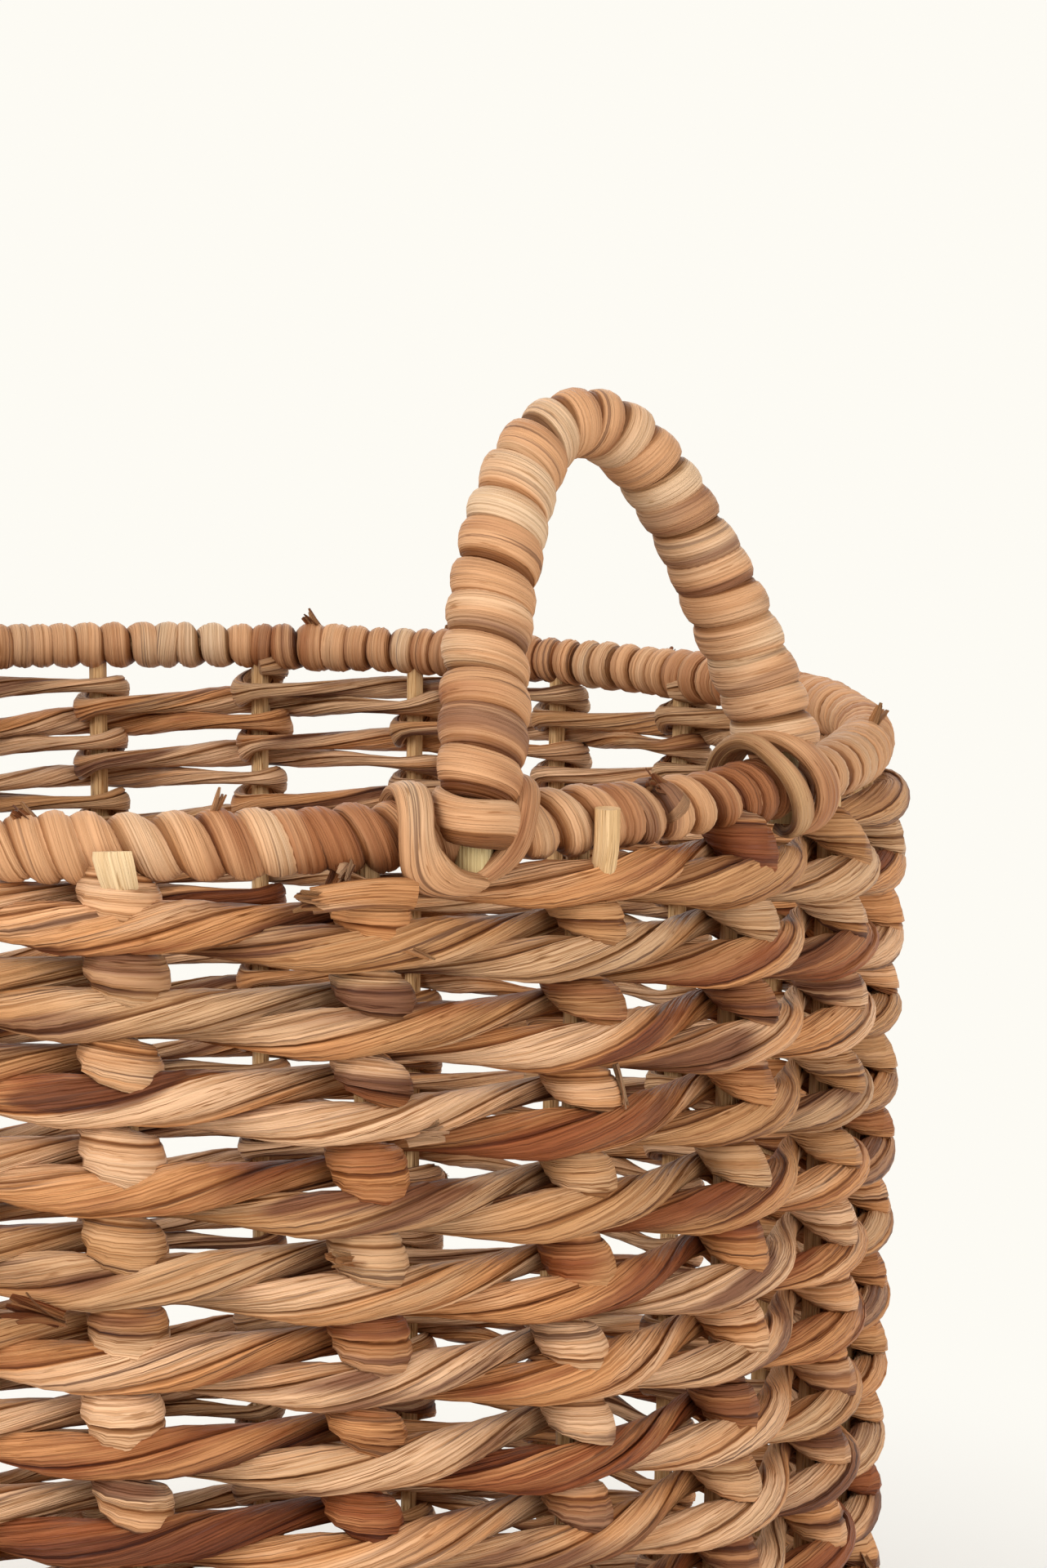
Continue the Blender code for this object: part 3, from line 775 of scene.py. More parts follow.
@dataclass(frozen=True)
class Wall:
    """Six strands that climb the wall together and take a turn round every other stake.

    The rows are fuller near the foot, and slimmer on the side away from the camera, where painted light also
    makes them paler.
    Each table of pairs gives places between 0 and 1 and the value at each.
    """

    material: bpy.types.Material
    section: Section = field(default_factory=Section)
    float_out: float = 0.0073
    float_half_height: float = 0.0051
    arriving: Keys = ((0, 0.97), (0.22, 1.10), (0.5, 0.80), (0.75, 0.68), (1, 0.66))
    leaving: Keys = ((0, 0.97), (0.22, 1.14), (0.5, 0.78), (0.75, 0.54), (1, 0.54))
    turn_half_thick: float = 0.0030
    turn_half_height: float = 0.0068
    turn_bulge: float = 0.0016
    behind_half_height: float = 0.0034
    turn_climb: float = 0.0031
    turn_slope: float = 0.0023
    turn_sag: float = 0.0013
    turn_lean: float = 0.42
    float_half_thick: Keys = ((0, 0.0046), (0.3, 0.00483), (0.55, 0.0038),
                                                         (0.8, 0.0029), (1, 0.0030))
    turn_heights: tuple[float, float, float] = (0.97, 1.0, 0.78)
    twist_rate: float = 52.0
    span_rings: int = 11
    turn_rings: int = 16
    early_stakes: int = 2
    late_stakes: int = 4
    squeeze_start: float = 0.0268
    squeeze_share: float = 0.88
    slim_side: float = math.radians(135)
    slim_share: float = 0.25
    # Painted light: strands on the far side are paler, standing in for brighter light there.
    far_side_painted_light: float = 0.24
    foot_tuck: float = 0.10
    foot_reach: float = 0.03
    low_start: float = 0.014
    low_station: float = 0.11
    low_fill: float = 0.18
    tone: float = 0.55
    tone_spread: float = 0.18
    tone_swing: float = 0.32

    @property
    def ring(self) -> float:
        """Distance of the strand's middle from the middle of the stake that it turns round."""
        return FORM.stake_radius + self.turn_half_thick

    def build(self) -> None:
        """Makes every length of every weaver; they start close to the base and run on up to the rim."""
        for weaver in range(FORM.weaver_count):
            start = -weaver * (FORM.stake_count // FORM.weaver_count)
            shift = (start + weaver + 1) % 2
            breaks = [start + shift + FORM.steps_per_length * n for n in range(FORM.lengths_per_weaver + 1)]
            breaks[0] -= self.early_stakes
            breaks[-1] += self.late_stakes
            for length, part in enumerate(("lower", "middle", "upper")):
                node = f"wall_weaver_{weaver + 1}_{part}"
                maker = StrandMaker(self.section, 100 + weaver * 10 + length)
                track = self.track(maker.rng, start, breaks[length], breaks[length + 1], length == 0)
                piece = maker.make(f"wall_strand_{weaver + 1}_{part}", track, self.material)
                finish_piece(piece, "hyacinth_strand", node)

    def span(self, rng: np.random.Generator, index: int, rising: bool) -> list[Points]:
        """Stretch between a stake that the strand passes outside and one that it turns round.

        Args:
            rng: Seeded source of the draws.
            index: Stake at which the stretch starts.
            rising: True where it comes from a turn and goes out over the next stake.

        Returns:
            Place in stakes, distance out, climb, half thickness, half height and lean of each ring.
        """
        share = (np.arange(self.span_rings) + 0.5) / self.span_rings
        near = 1 - share if rising else share
        lift = 1 + 0.13 * rng.uniform(-1, 1)
        out = self.float_out - (self.float_out + self.ring) * ease(near)
        climb = self.turn_climb * ease(near) * (1 if rising else -1)
        thick = keyed(near, self.float_half_thick)
        shape = keyed(near, self.leaving if rising else self.arriving)
        lean = 0.2 * rng.uniform(-1, 1) * np.sin(math.pi * near)
        return [index + share, out, climb, thick, self.float_half_height * shape * lift, lean]

    def turn(self, rng: np.random.Generator, index: int) -> list[Points]:
        """One turn round a stake, from behind it over its right side and its front to behind it again.

        Args:
            rng: Seeded source of the draws.
            index: The stake.

        Returns:
            The same values as for a span.
        """
        share = (np.arange(self.turn_rings) + 0.5) / self.turn_rings
        turn = -math.pi / 2 + math.tau * share
        front = np.maximum(np.sin(turn), 0.0)
        full = self.turn_half_height * (1 + 0.15 * rng.uniform(-1, 1))
        right, front_height, left = (full * part for part in self.turn_heights)
        height = keyed(share, ((0, self.behind_half_height), (0.25, right), (0.5, front_height), (0.75, left),
                               (1, self.behind_half_height)))
        thick = self.turn_half_thick * (1 + 0.1 * np.sin(turn)) * (1 + 0.08 * rng.uniform(-1, 1))
        climb = -self.turn_climb * np.cos(math.pi * share)
        climb = climb - self.turn_slope * (1 + 0.35 * rng.uniform(-1, 1)) * np.sin(math.tau * share)
        climb = climb - (self.turn_sag + 0.0009 * rng.uniform(-1, 1)) * np.sin(math.pi * share)
        ring = self.ring + self.turn_bulge * front
        aside = ring * np.cos(turn) + 0.0016 * rng.uniform(-1, 1) * np.sin(math.pi * share)
        lean = self.turn_lean * (1 + 0.3 * rng.uniform(-1, 1)) * np.sin(math.pi * share)
        place = index + aside / (FORM.foot_circle_radius * FORM.stake_angle)
        return [place, ring * np.sin(turn), climb, thick, height, lean]

    def track(self, rng: np.random.Generator, start: int, first: int, last: int,
              with_turn: bool) -> Track:
        """Way of one length of a weaver.

        Args:
            rng: Seeded source of the draws.
            start: Stake at which the weaver starts.
            first: Stake that this length starts behind.
            last: Stake that it ends behind.
            with_turn: True if it also turns round its first stake.

        Returns:
            The track.
        """
        stretches = [self.turn(rng, first)] if with_turn else []
        for index in range(first, last, 2):
            stretches.append(self.span(rng, index, True))
            stretches.append(self.span(rng, index + 1, False))
            stretches.append(self.turn(rng, index + 2))
        place, out, climb, thick, height, lean = (np.concatenate(column) for column in zip(*stretches))
        count = len(place)
        climb = softened(climb, 2) + 0.0007 * wander(rng, count, 22.0)
        thick, height = (softened(values, 1) * (1 + 0.07 * wander(rng, count, 14.0))
                         for values in (thick, height))
        station = FORM.row_spacing + FORM.rise_per_stake * (place - start)
        free = FORM.rim_station - self.squeeze_start
        station = np.where(station > free, free + (station - free) * self.squeeze_share, station)
        angle = (place + 0.5) * FORM.stake_angle
        slim = ease(np.clip((np.cos(angle - self.slim_side) + 0.1) / 0.6, 0.0, 1.0))
        low = 1 - ease(np.clip(station / self.low_station, 0.0, 1.0))
        fill = self.low_fill * low * ease(np.clip((station - self.low_start) / self.foot_reach, 0.0, 1.0))
        height = height * (1 - self.slim_share * slim * (1 - low)) * (1 + fill)
        out = out * (1 - self.foot_tuck * (1 - ease(np.clip(station / self.foot_reach, 0.0, 1.0))))
        centre, up, outwards = FORM.place(angle, station, out, climb)
        up = np.cos(lean)[:, None] * up - np.sin(lean)[:, None] * outwards
        twist = self.twist_rate * travelled(centre) + rng.uniform(0, math.tau)
        twist = twist + 0.6 * wander(rng, count, 50.0)
        tone = self.tone + self.tone_spread * rng.uniform(-1, 1) + self.tone_swing * wander(rng, count, 30.0)
        # Painted light: the far side's strands are paler.
        return Track(centre, up, thick, height, twist, tone + self.far_side_painted_light * slim)


# Base


@dataclass(frozen=True)
class Base:
    """Strands of the base, which nobody sees in daily use but which shows from above and below."""

    material: bpy.types.Material
    section: Section = field(default_factory=Section)
    half_thick: float = 0.0041
    half_width: float = 0.0050
    offset: float = 0.00834
    rings_per_stake: int = 8
    pairs_start_radius: float = 0.046
    spread_radius: float = 0.097
    strand_width: float = 0.0088
    lead_stakes: int = 5
    weaver_count: int = 2
    slath_reach: float = 0.033
    slath_step: float = 0.0061
    rods_per_group: int = 6
    binding_radius: float = 0.0042
    binding_tension: float = 0.25
    twist_rate: float = 45.0
    wave_power: float = 0.8
    tone: float = 0.42

    def build(self) -> None:
        """Makes the four strands and the binding of the crossing."""
        outer_rows = int((FORM.flat_radius - self.spread_radius - self.strand_width / 2) / FORM.row_spacing)
        inner_start = FORM.flat_radius - FORM.row_spacing * outer_rows
        inner_rows = (inner_start - self.pairs_start_radius - self.strand_width * 0.6) / FORM.row_spacing
        for weaver in range(self.weaver_count):
            for zone, start, rows, lead in (("outer", FORM.flat_radius, outer_rows, self.lead_stakes),
                                            ("inner", inner_start, inner_rows, 0)):
                maker = StrandMaker(self.section, 300 + weaver * 10 + lead)
                track = self.track(maker.rng, weaver, start, rows, lead)
                piece = maker.make(f"base_strand_{zone}_{weaver + 1}", track, self.material)
                finish_piece(piece, "hyacinth_strand", f"base_weaver_{zone}_{weaver + 1}")
        self.bind()

    def track(self, rng: np.random.Generator, weaver: int, start_radius: float, rows: float,
              lead: int) -> Track:
        """Way of one strand, which winds inwards over and under the rods.

        Args:
            rng: Seeded source of the draws.
            weaver: Number of the strand.
            start_radius: Radius at which it starts.
            rows: Rows that it fills together with the other one.
            lead: Stakes that it starts earlier; a strand without a lead passes the rods two by two.

        Returns:
            The track.
        """
        steps = int(rows * FORM.stake_count / self.weaver_count) - 1
        count = (steps + lead) * self.rings_per_stake + 1
        first = weaver * FORM.stake_count // self.weaver_count
        index = first - lead + np.arange(count) / self.rings_per_stake
        fall = FORM.row_spacing * self.weaver_count / FORM.stake_count
        radius = start_radius - fall * (index - first)
        phase = index if lead else (index - 0.5) / 2
        wave = np.cos(math.pi * (phase + weaver))
        wave = np.sign(wave) * np.abs(wave) ** self.wave_power
        centre, up, _ = FORM.place((index + 0.5) * FORM.stake_angle, radius - FORM.flat_radius,
                                   self.offset * wave, 0.0003 * wander(rng, count, 20.0))
        width = self.half_width * (1 + 0.08 * wander(rng, count, 12.0))
        twist = self.twist_rate * travelled(centre)
        tone = self.tone + 0.2 * wander(rng, count, 60.0)
        return Track(centre, up, np.full(count, self.half_thick), width, twist, tone)

    def bind(self) -> None:
        """Closed strand that locks the crossing of the rods."""
        lift = self.binding_radius + FORM.clearance / 2
        reach = self.slath_reach - self.binding_radius - FORM.clearance
        corner = (self.rods_per_group - 1) / 2 * self.slath_step + self.binding_radius
        corners = []
        for arm in range(4):
            turn = arm * math.pi / 2
            level = FORM.base_mid_height + (lift if arm % 2 == 0 else -lift)
            for side in (-corner, corner):
                corners.append((reach * math.cos(turn) - side * math.sin(turn),
                                reach * math.sin(turn) + side * math.cos(turn), level))
        centre = closed_curve(np.array(corners), self.rings_per_stake, self.binding_tension)
        count = len(centre)
        maker = StrandMaker(self.section, 340)
        size = np.full(count, self.binding_radius * 0.98)
        twist = math.tau * 3 * np.arange(count) / count
        track = Track(centre, np.tile((0.0, 0.0, 1.0), (count, 1)), size, size, twist, np.full(count, 0.45),
                      closed=True)
        piece = maker.make("base_binding_strand", track, self.material)
        finish_piece(piece, "hyacinth_strand", "base_binding")


def closed_curve(corners: Points, steps: int, tension: float) -> Points:
    """Smooth closed curve through a ring of points.

    Args:
        corners: The points.
        steps: Rings from one point to the next.
        tension: How widely it swings through them.

    Returns:
        Points of the curve.
    """
    part = (np.arange(steps) / steps)[:, None]
    before, after = np.roll(corners, 1, axis=0), np.roll(corners, -1, axis=0)
    slope = tension * (after - before)
    pieces = []
    for i in range(len(corners)):
        j = (i + 1) % len(corners)
        pieces.append((2 * part**3 - 3 * part**2 + 1) * corners[i] + (part**3 - 2 * part**2 + part) * slope[i]
                      + (3 * part**2 - 2 * part**3) * corners[j] + (part**3 - part**2) * slope[j])
    return np.concatenate(pieces)


# Rim


BAND = Section(stems=(0.4, 3.3), places=(0.0, 0.05, 0.16, 0.29, 0.42, 0.55, 0.68, 0.81, 0.94),
               relief=(0.90, 0.97, 0.98, 1.0, 1.01, 1.02, 1.02, 1.02, 1.0), tone_spread=0.10)
# Painted shade: the rim and the handle's winding are darkened deeply on the edge that tucks under the next
# turn. The lash bands and the flap are darkened a little at both edges.
RIM_SECTION = replace(BAND, painted_edge_shade=0.9, edge_from=0.36, edge_span=0.36)
WRAP_SECTION = replace(BAND, painted_edge_shade=0.9, edge_from=0.22, edge_span=0.36)
LASH_SECTION = replace(BAND, painted_edge_shade=0.6, edge_from=0.80, edge_span=0.20)


@dataclass(frozen=True)
class Rim:
    """Strand wound closely round the hoop and the tips of the stakes."""

    material: bpy.types.Material
    section: Section = RIM_SECTION
    turns: int = 160
    rings_per_turn: int = 16
    half_thick: float = 0.0046
    half_width: float = 0.0046
    slant: float = 0.0012
    tilt: float = math.radians(-9)
    tone: float = 0.36
    tone_swing: float = 0.28
    slow_swing: float = 0.12

    def build(self) -> None:
        """Makes the winding."""
        maker = StrandMaker(self.section, 400)
        rng = maker.rng
        count = self.turns * self.rings_per_turn
        share = np.arange(count) / count
        stride = self.rings_per_turn
        turn = -math.tau * self.turns * share
        angle = math.tau * (share + 0.0016 * wander(rng, count, stride * 1.3, True))
        angle = angle - self.slant * np.sin(turn) / FORM.rim_circle_radius
        thick = self.half_thick * (1 + 0.16 * wander(rng, count, stride * 1.1, True))
        width = self.half_width * (1 + 0.14 * wander(rng, count, stride * 1.0, True))
        radius = FORM.rim_roll_radius + FORM.clearance - thick
        radius = radius + 0.0005 * wander(rng, count, stride * 2.0, True)
        centre, _ = FORM.on_rim(angle, turn, radius)
        wide = np.stack([-np.sin(angle), np.cos(angle), np.zeros(count)], axis=-1)
        twist = 0.5 * wander(rng, count, stride * 1.7, True)
        tone = self.tone + self.tone_swing * wander(rng, count, stride * 1.3, True)
        tone = tone + self.slow_swing * wander(rng, count, stride * 9.0, True)
        track = Track(centre, wide, thick, width, twist, tone, closed=True, tilt=self.tilt)
        piece = maker.make("rim_winding", track, self.material)
        finish_piece(piece, "hyacinth_wrap", "rim_wrapping")


# Handles


@dataclass(frozen=True)
class Lash:
    """Band that comes from inside over the rim and is drawn under a leg's end.

    Its way is a row of places: the turn round the rim's roll in degrees, from outwards over upwards, the
    distance along the rim from the foot's middle, and the distance from the roll's middle.
    """

    label: str
    foot: int
    half_width: float
    tone: float
    way: tuple[tuple[float, float, float], ...]
    node: bool = False


LASHES = (
    Lash("left", 0, 0.0044, 0.50, ((208, -0.0165, 0.0095), (90, -0.0165, 0.0100), (38, -0.0187, 0.0100),
                                   (2, -0.0196, 0.0102), (-32, -0.0178, 0.0112), (-52, -0.0116, 0.0126),
                                   (-55, -0.0045, 0.0130), (-88, -0.0010, 0.0098)), node=True),
    Lash("right", 0, 0.0030, 0.36, ((208, 0.0105, 0.0092), (90, 0.0105, 0.0096), (58, 0.0094, 0.0097),
                                    (32, 0.0063, 0.0098), (0, 0.0045, 0.0100), (-27, 0.0020, 0.0106),
                                    (-47, -0.0025, 0.0114), (-60, -0.0089, 0.0122), (-88, -0.0125, 0.0100))),
    Lash("outer", 1, 0.0052, 0.34, ((208, -0.0160, 0.0095), (92, -0.0115, 0.0126), (45, -0.0076, 0.0114),
                                    (10, -0.0042, 0.0112), (-20, -0.0022, 0.0112), (-50, -0.0019, 0.0116),
                                    (-88, -0.0045, 0.0100)), node=True),
    Lash("inner", 1, 0.0032, 0.44, ((208, -0.0190, 0.0095), (112, -0.0195, 0.0128), (75, -0.0200, 0.0112),
                                    (53, -0.0200, 0.0100), (-2, -0.0150, 0.0100), (-34, -0.0105, 0.0103),
                                    (-72, -0.0050, 0.0114), (-98, -0.0040, 0.0100))),
)

ROD_LINES = 14
ROD_SECTION = Section(stems=(0.0,), places=tuple(n / ROD_LINES for n in range(ROD_LINES)),
                      relief=(1.0,) * ROD_LINES, tone_spread=0.05, painted_edge_shade=0.0)


@dataclass(frozen=True)
class Handle:
    """Loop handle: a strand wound round its bent core, its feet lashed to the front of the rim."""

    side: str
    wrap: bpy.types.Material
    young: bpy.types.Material
    section: Section = WRAP_SECTION
    half_span_angle: float = FORM.stake_angle
    rise: float = 0.0865
    lean: float = math.radians(13.4)
    sides_curve: float = 0.92
    top_curve: float = 1.8
    top_drop: float = 0.0014
    foot_out: tuple[float, float] = (0.0060, 0.0010)
    foot_aside: tuple[float, float] = (-0.0045, -0.0035)
    foot_length: float = 0.042
    foot_depth: float = 0.0088
    core_radius: float = 0.0042
    leg_radius: float = 0.0100
    top_radius: float = 0.0080
    turns: int = 25
    rings_per_turn: int = 26
    half_thick: float = 0.0027
    half_width: float = 0.0056
    winding_ends: tuple[float, float] = (-0.0026, 0.0080)
    droop: float = 0.0025
    droop_length: float = 0.026
    droop_turn: float = 1.2
    tilt: float = math.radians(12)
    tone: float = 0.47
    tone_swing: float = 0.28
    line_rings: int = 6000
    even_rings: int = 4000
    core_rings: int = 120
    lash_half_thick: float = 0.0019
    lash_rings: int = 64
    lash_rounds: int = 30
    lash_widths: Keys = ((0, 0.9), (0.3, 1.0), (0.6, 1.1), (0.85, 1.0), (1, 0.5))

    def build(self) -> None:
        """Makes the core, the winding and the lashings of both feet."""
        self.bend_core()
        self.wind()
        for number, lash in enumerate(LASHES):
            self.lash(number, lash)

    def placed(self, points: Points) -> Points:
        """The points of the +X handle, or the same ones at -X."""
        return points if self.side == "right" else points * np.array([-1.0, -1.0, 1.0])

    def line(self) -> tuple[Points, Points]:
        """Centre line of the +X handle, evenly spaced; its feet run down in front of the rim.

        Returns:
            Points of the line and the distance of each from where it meets the rim's height.
        """
        turn = math.pi * (1 - np.linspace(0.0, 1.0, self.line_rings))
        half_span = FORM.rim_circle_radius * math.sin(self.half_span_angle)
        foot_x = FORM.rim_circle_radius * math.cos(self.half_span_angle)
        across = np.sign(np.cos(turn)) * np.abs(np.cos(turn)) ** self.sides_curve * half_span
        up = np.maximum(np.sin(turn), 0.0) ** self.top_curve * self.rise
        drop = self.top_drop * ease(up / self.rise)
        points = np.stack([foot_x - up * math.tan(self.lean), across, FORM.rim_height + up - drop], axis=-1)
        below = np.linspace(self.foot_depth, 0.0, 60)[:-1, None] * np.array([0.0, 0.0, -1.0])
        points = np.concatenate([points[:1] + below, points, points[-1:] + below[::-1]])
        distance = travelled(points)
        even = np.linspace(0.0, distance[-1], self.even_rings)
        points = np.stack([np.interp(even, distance, points[:, axis]) for axis in range(3)], axis=-1)
        even = even - self.foot_depth
        end = even[-1] - self.foot_depth
        feet = zip((points[0], points[-1]), (even, end - even), self.foot_out, self.foot_aside)
        for foot, gap, out, aside in feet:
            outwards = unit(foot * np.array([1.0, 1.0, 0.0]))
            sideways = np.array([-outwards[1], outwards[0], 0.0])
            share = ease(1 - np.clip(gap / self.foot_length, 0.0, 1.0))[:, None]
            points = points + share * out * outwards + share**2.5 * aside * sideways
        return points, even

    def at(self, distance: Points) -> tuple[Points, Points, Points, Points]:
        """Frame of the centre line.

        Args:
            distance: Distances from where it meets the rim's height.

        Returns:
            Points, directions along the line, outwards and inwards across it.
        """
        points, even = self.line()
        slope = unit(np.gradient(points, axis=0))
        centre, along = (np.stack([np.interp(distance, even, rows[:, axis]) for axis in range(3)], axis=-1)
                         for rows in (points, slope))
        along = unit(along)
        face = np.broadcast_to(np.array([math.cos(self.lean), 0.0, math.sin(self.lean)]), along.shape)
        inner = unit(np.cross(face, along))
        return centre, along, np.cross(along, inner), inner

    def bend_core(self) -> None:
        """Bent rod inside the winding; its pale ends show under the winding's last turns."""
        even = self.line()[1]
        distance = np.linspace(even[0], even[-1], self.core_rings)
        centre, _, face, _ = self.at(distance)
        count = len(distance)
        maker = StrandMaker(ROD_SECTION, 480)
        size = np.full(count, self.core_radius)
        track = Track(self.placed(centre), self.placed(face), size, size, np.zeros(count),
                      np.full(count, 0.5))
        piece = maker.make(f"{self.side}_handle_stem", track, self.young)
        finish_piece(piece, "rattan", f"{self.side}_handle_core")

    def wind(self) -> None:
        """Strand wound round the core, each turn lapping over the one below it."""
        maker = StrandMaker(self.section, 500 if self.side == "right" else 520)
        rng = maker.rng
        count = self.turns * self.rings_per_turn + 1
        stride = self.rings_per_turn
        length = self.line()[1][-1] - self.foot_depth
        share = np.arange(count) / (count - 1)
        turn = math.tau * self.turns * share + math.pi
        distance = self.winding_ends[0] + (length - sum(self.winding_ends)) * share
        near_foot = np.clip(1 - np.minimum(distance, length - distance) / self.droop_length, 0.0, 1.0)
        distance = distance + 0.0014 * wander(rng, count, stride * 1.1)
        foot = np.sign(length / 2 - distance)
        distance = distance - foot * self.droop * near_foot * np.cos(turn - foot * self.droop_turn)
        thick = self.half_thick * (1 + 0.16 * wander(rng, count, stride * 1.0))
        width = self.half_width * (1 + 0.17 * wander(rng, count, stride * 0.9))
        high = ease(np.clip(1 - np.abs(distance / (length / 2) - 1) * 1.5, 0.0, 1.0))
        outer = self.leg_radius + (self.top_radius - self.leg_radius) * high
        outer = outer - 0.0004 * ease(near_foot) + 0.0005 * wander(rng, count, stride * 1.6)
        radius = outer - thick
        centre, along, face, inner = self.at(distance)
        centre = centre + radius[:, None] * (np.cos(turn)[:, None] * face + np.sin(turn)[:, None] * inner)
        twist = 0.35 * wander(rng, count, stride * 1.4)
        tone = self.tone + self.tone_swing * wander(rng, count, stride * 1.2)
        track = Track(self.placed(centre), self.placed(-along), thick, width, twist, tone, tilt=self.tilt)
        piece = maker.make(f"{self.side}_handle_wrap", track, self.wrap)
        finish_piece(piece, "hyacinth_wrap", f"{self.side}_handle_winding")

    def lash(self, number: int, lash: Lash) -> None:
        """Band that ties a foot to the rim.

        Args:
            number: Number of the band.
            lash: Its way and sizes.
        """
        maker = StrandMaker(LASH_SECTION, (540 if self.side == "right" else 560) + number)
        rng = maker.rng
        count = self.lash_rings
        places = np.linspace(0.0, 1.0, len(lash.way))
        share = np.linspace(0.0, 1.0, count)
        turn, aside, radius = (softened(np.interp(share, places, column), self.lash_rounds)
                               for column in zip(*lash.way))
        foot_angle = self.half_span_angle if lash.foot else -self.half_span_angle
        centre, away = FORM.on_rim(foot_angle + aside / FORM.rim_circle_radius, np.radians(turn), radius)
        along = unit(np.gradient(centre, axis=0))
        width = lash.half_width * keyed(share, self.lash_widths) * (1 + 0.08 * wander(rng, count, 14.0))
        thick = self.lash_half_thick * (1 + 0.1 * wander(rng, count, 11.0))
        track = Track(self.placed(centre), self.placed(unit(np.cross(away, along))), thick, width,
                      0.25 * wander(rng, count, 25.0), lash.tone + 0.15 * wander(rng, count, 20.0))
        piece = maker.make(f"{self.side}_handle_band_{lash.foot + 1}_{lash.label}", track, self.wrap)
        nodes = (f"{self.side}_handle_lashing_{lash.foot + 1}",) if lash.node else ()
        finish_piece(piece, "hyacinth_wrap", *nodes)


# Ends


RIM_ROOT_DEPTH = 0.0008
FIBRE_ROOT = 0.003
FIBRE_THICK = 0.00022
FIBRE_TAPER = np.array([1.0, 1.0, 0.95, 0.85, 0.7, 0.4])
FIBRE_SECTION = Section(stems=(0.0,), places=(0.0, 0.25, 0.5, 0.75), relief=(1.0,) * 4, tone_spread=0.0,
                        painted_edge_shade=0.0)


class Look(Enum):
    """How a loose end looks."""

    DARK = 0.02
    TAWNY = 0.5
    PALE = 1.1


@dataclass(frozen=True)
class LooseEnd:
    """A strand's frayed end: where it comes out, which way it points, and its size."""

    at: tuple[float, float, float]
    to: tuple[float, float, float]
    length: float = 0.007
    width: float = 0.0035
    fibres: int = 5
    look: Look = Look.TAWNY


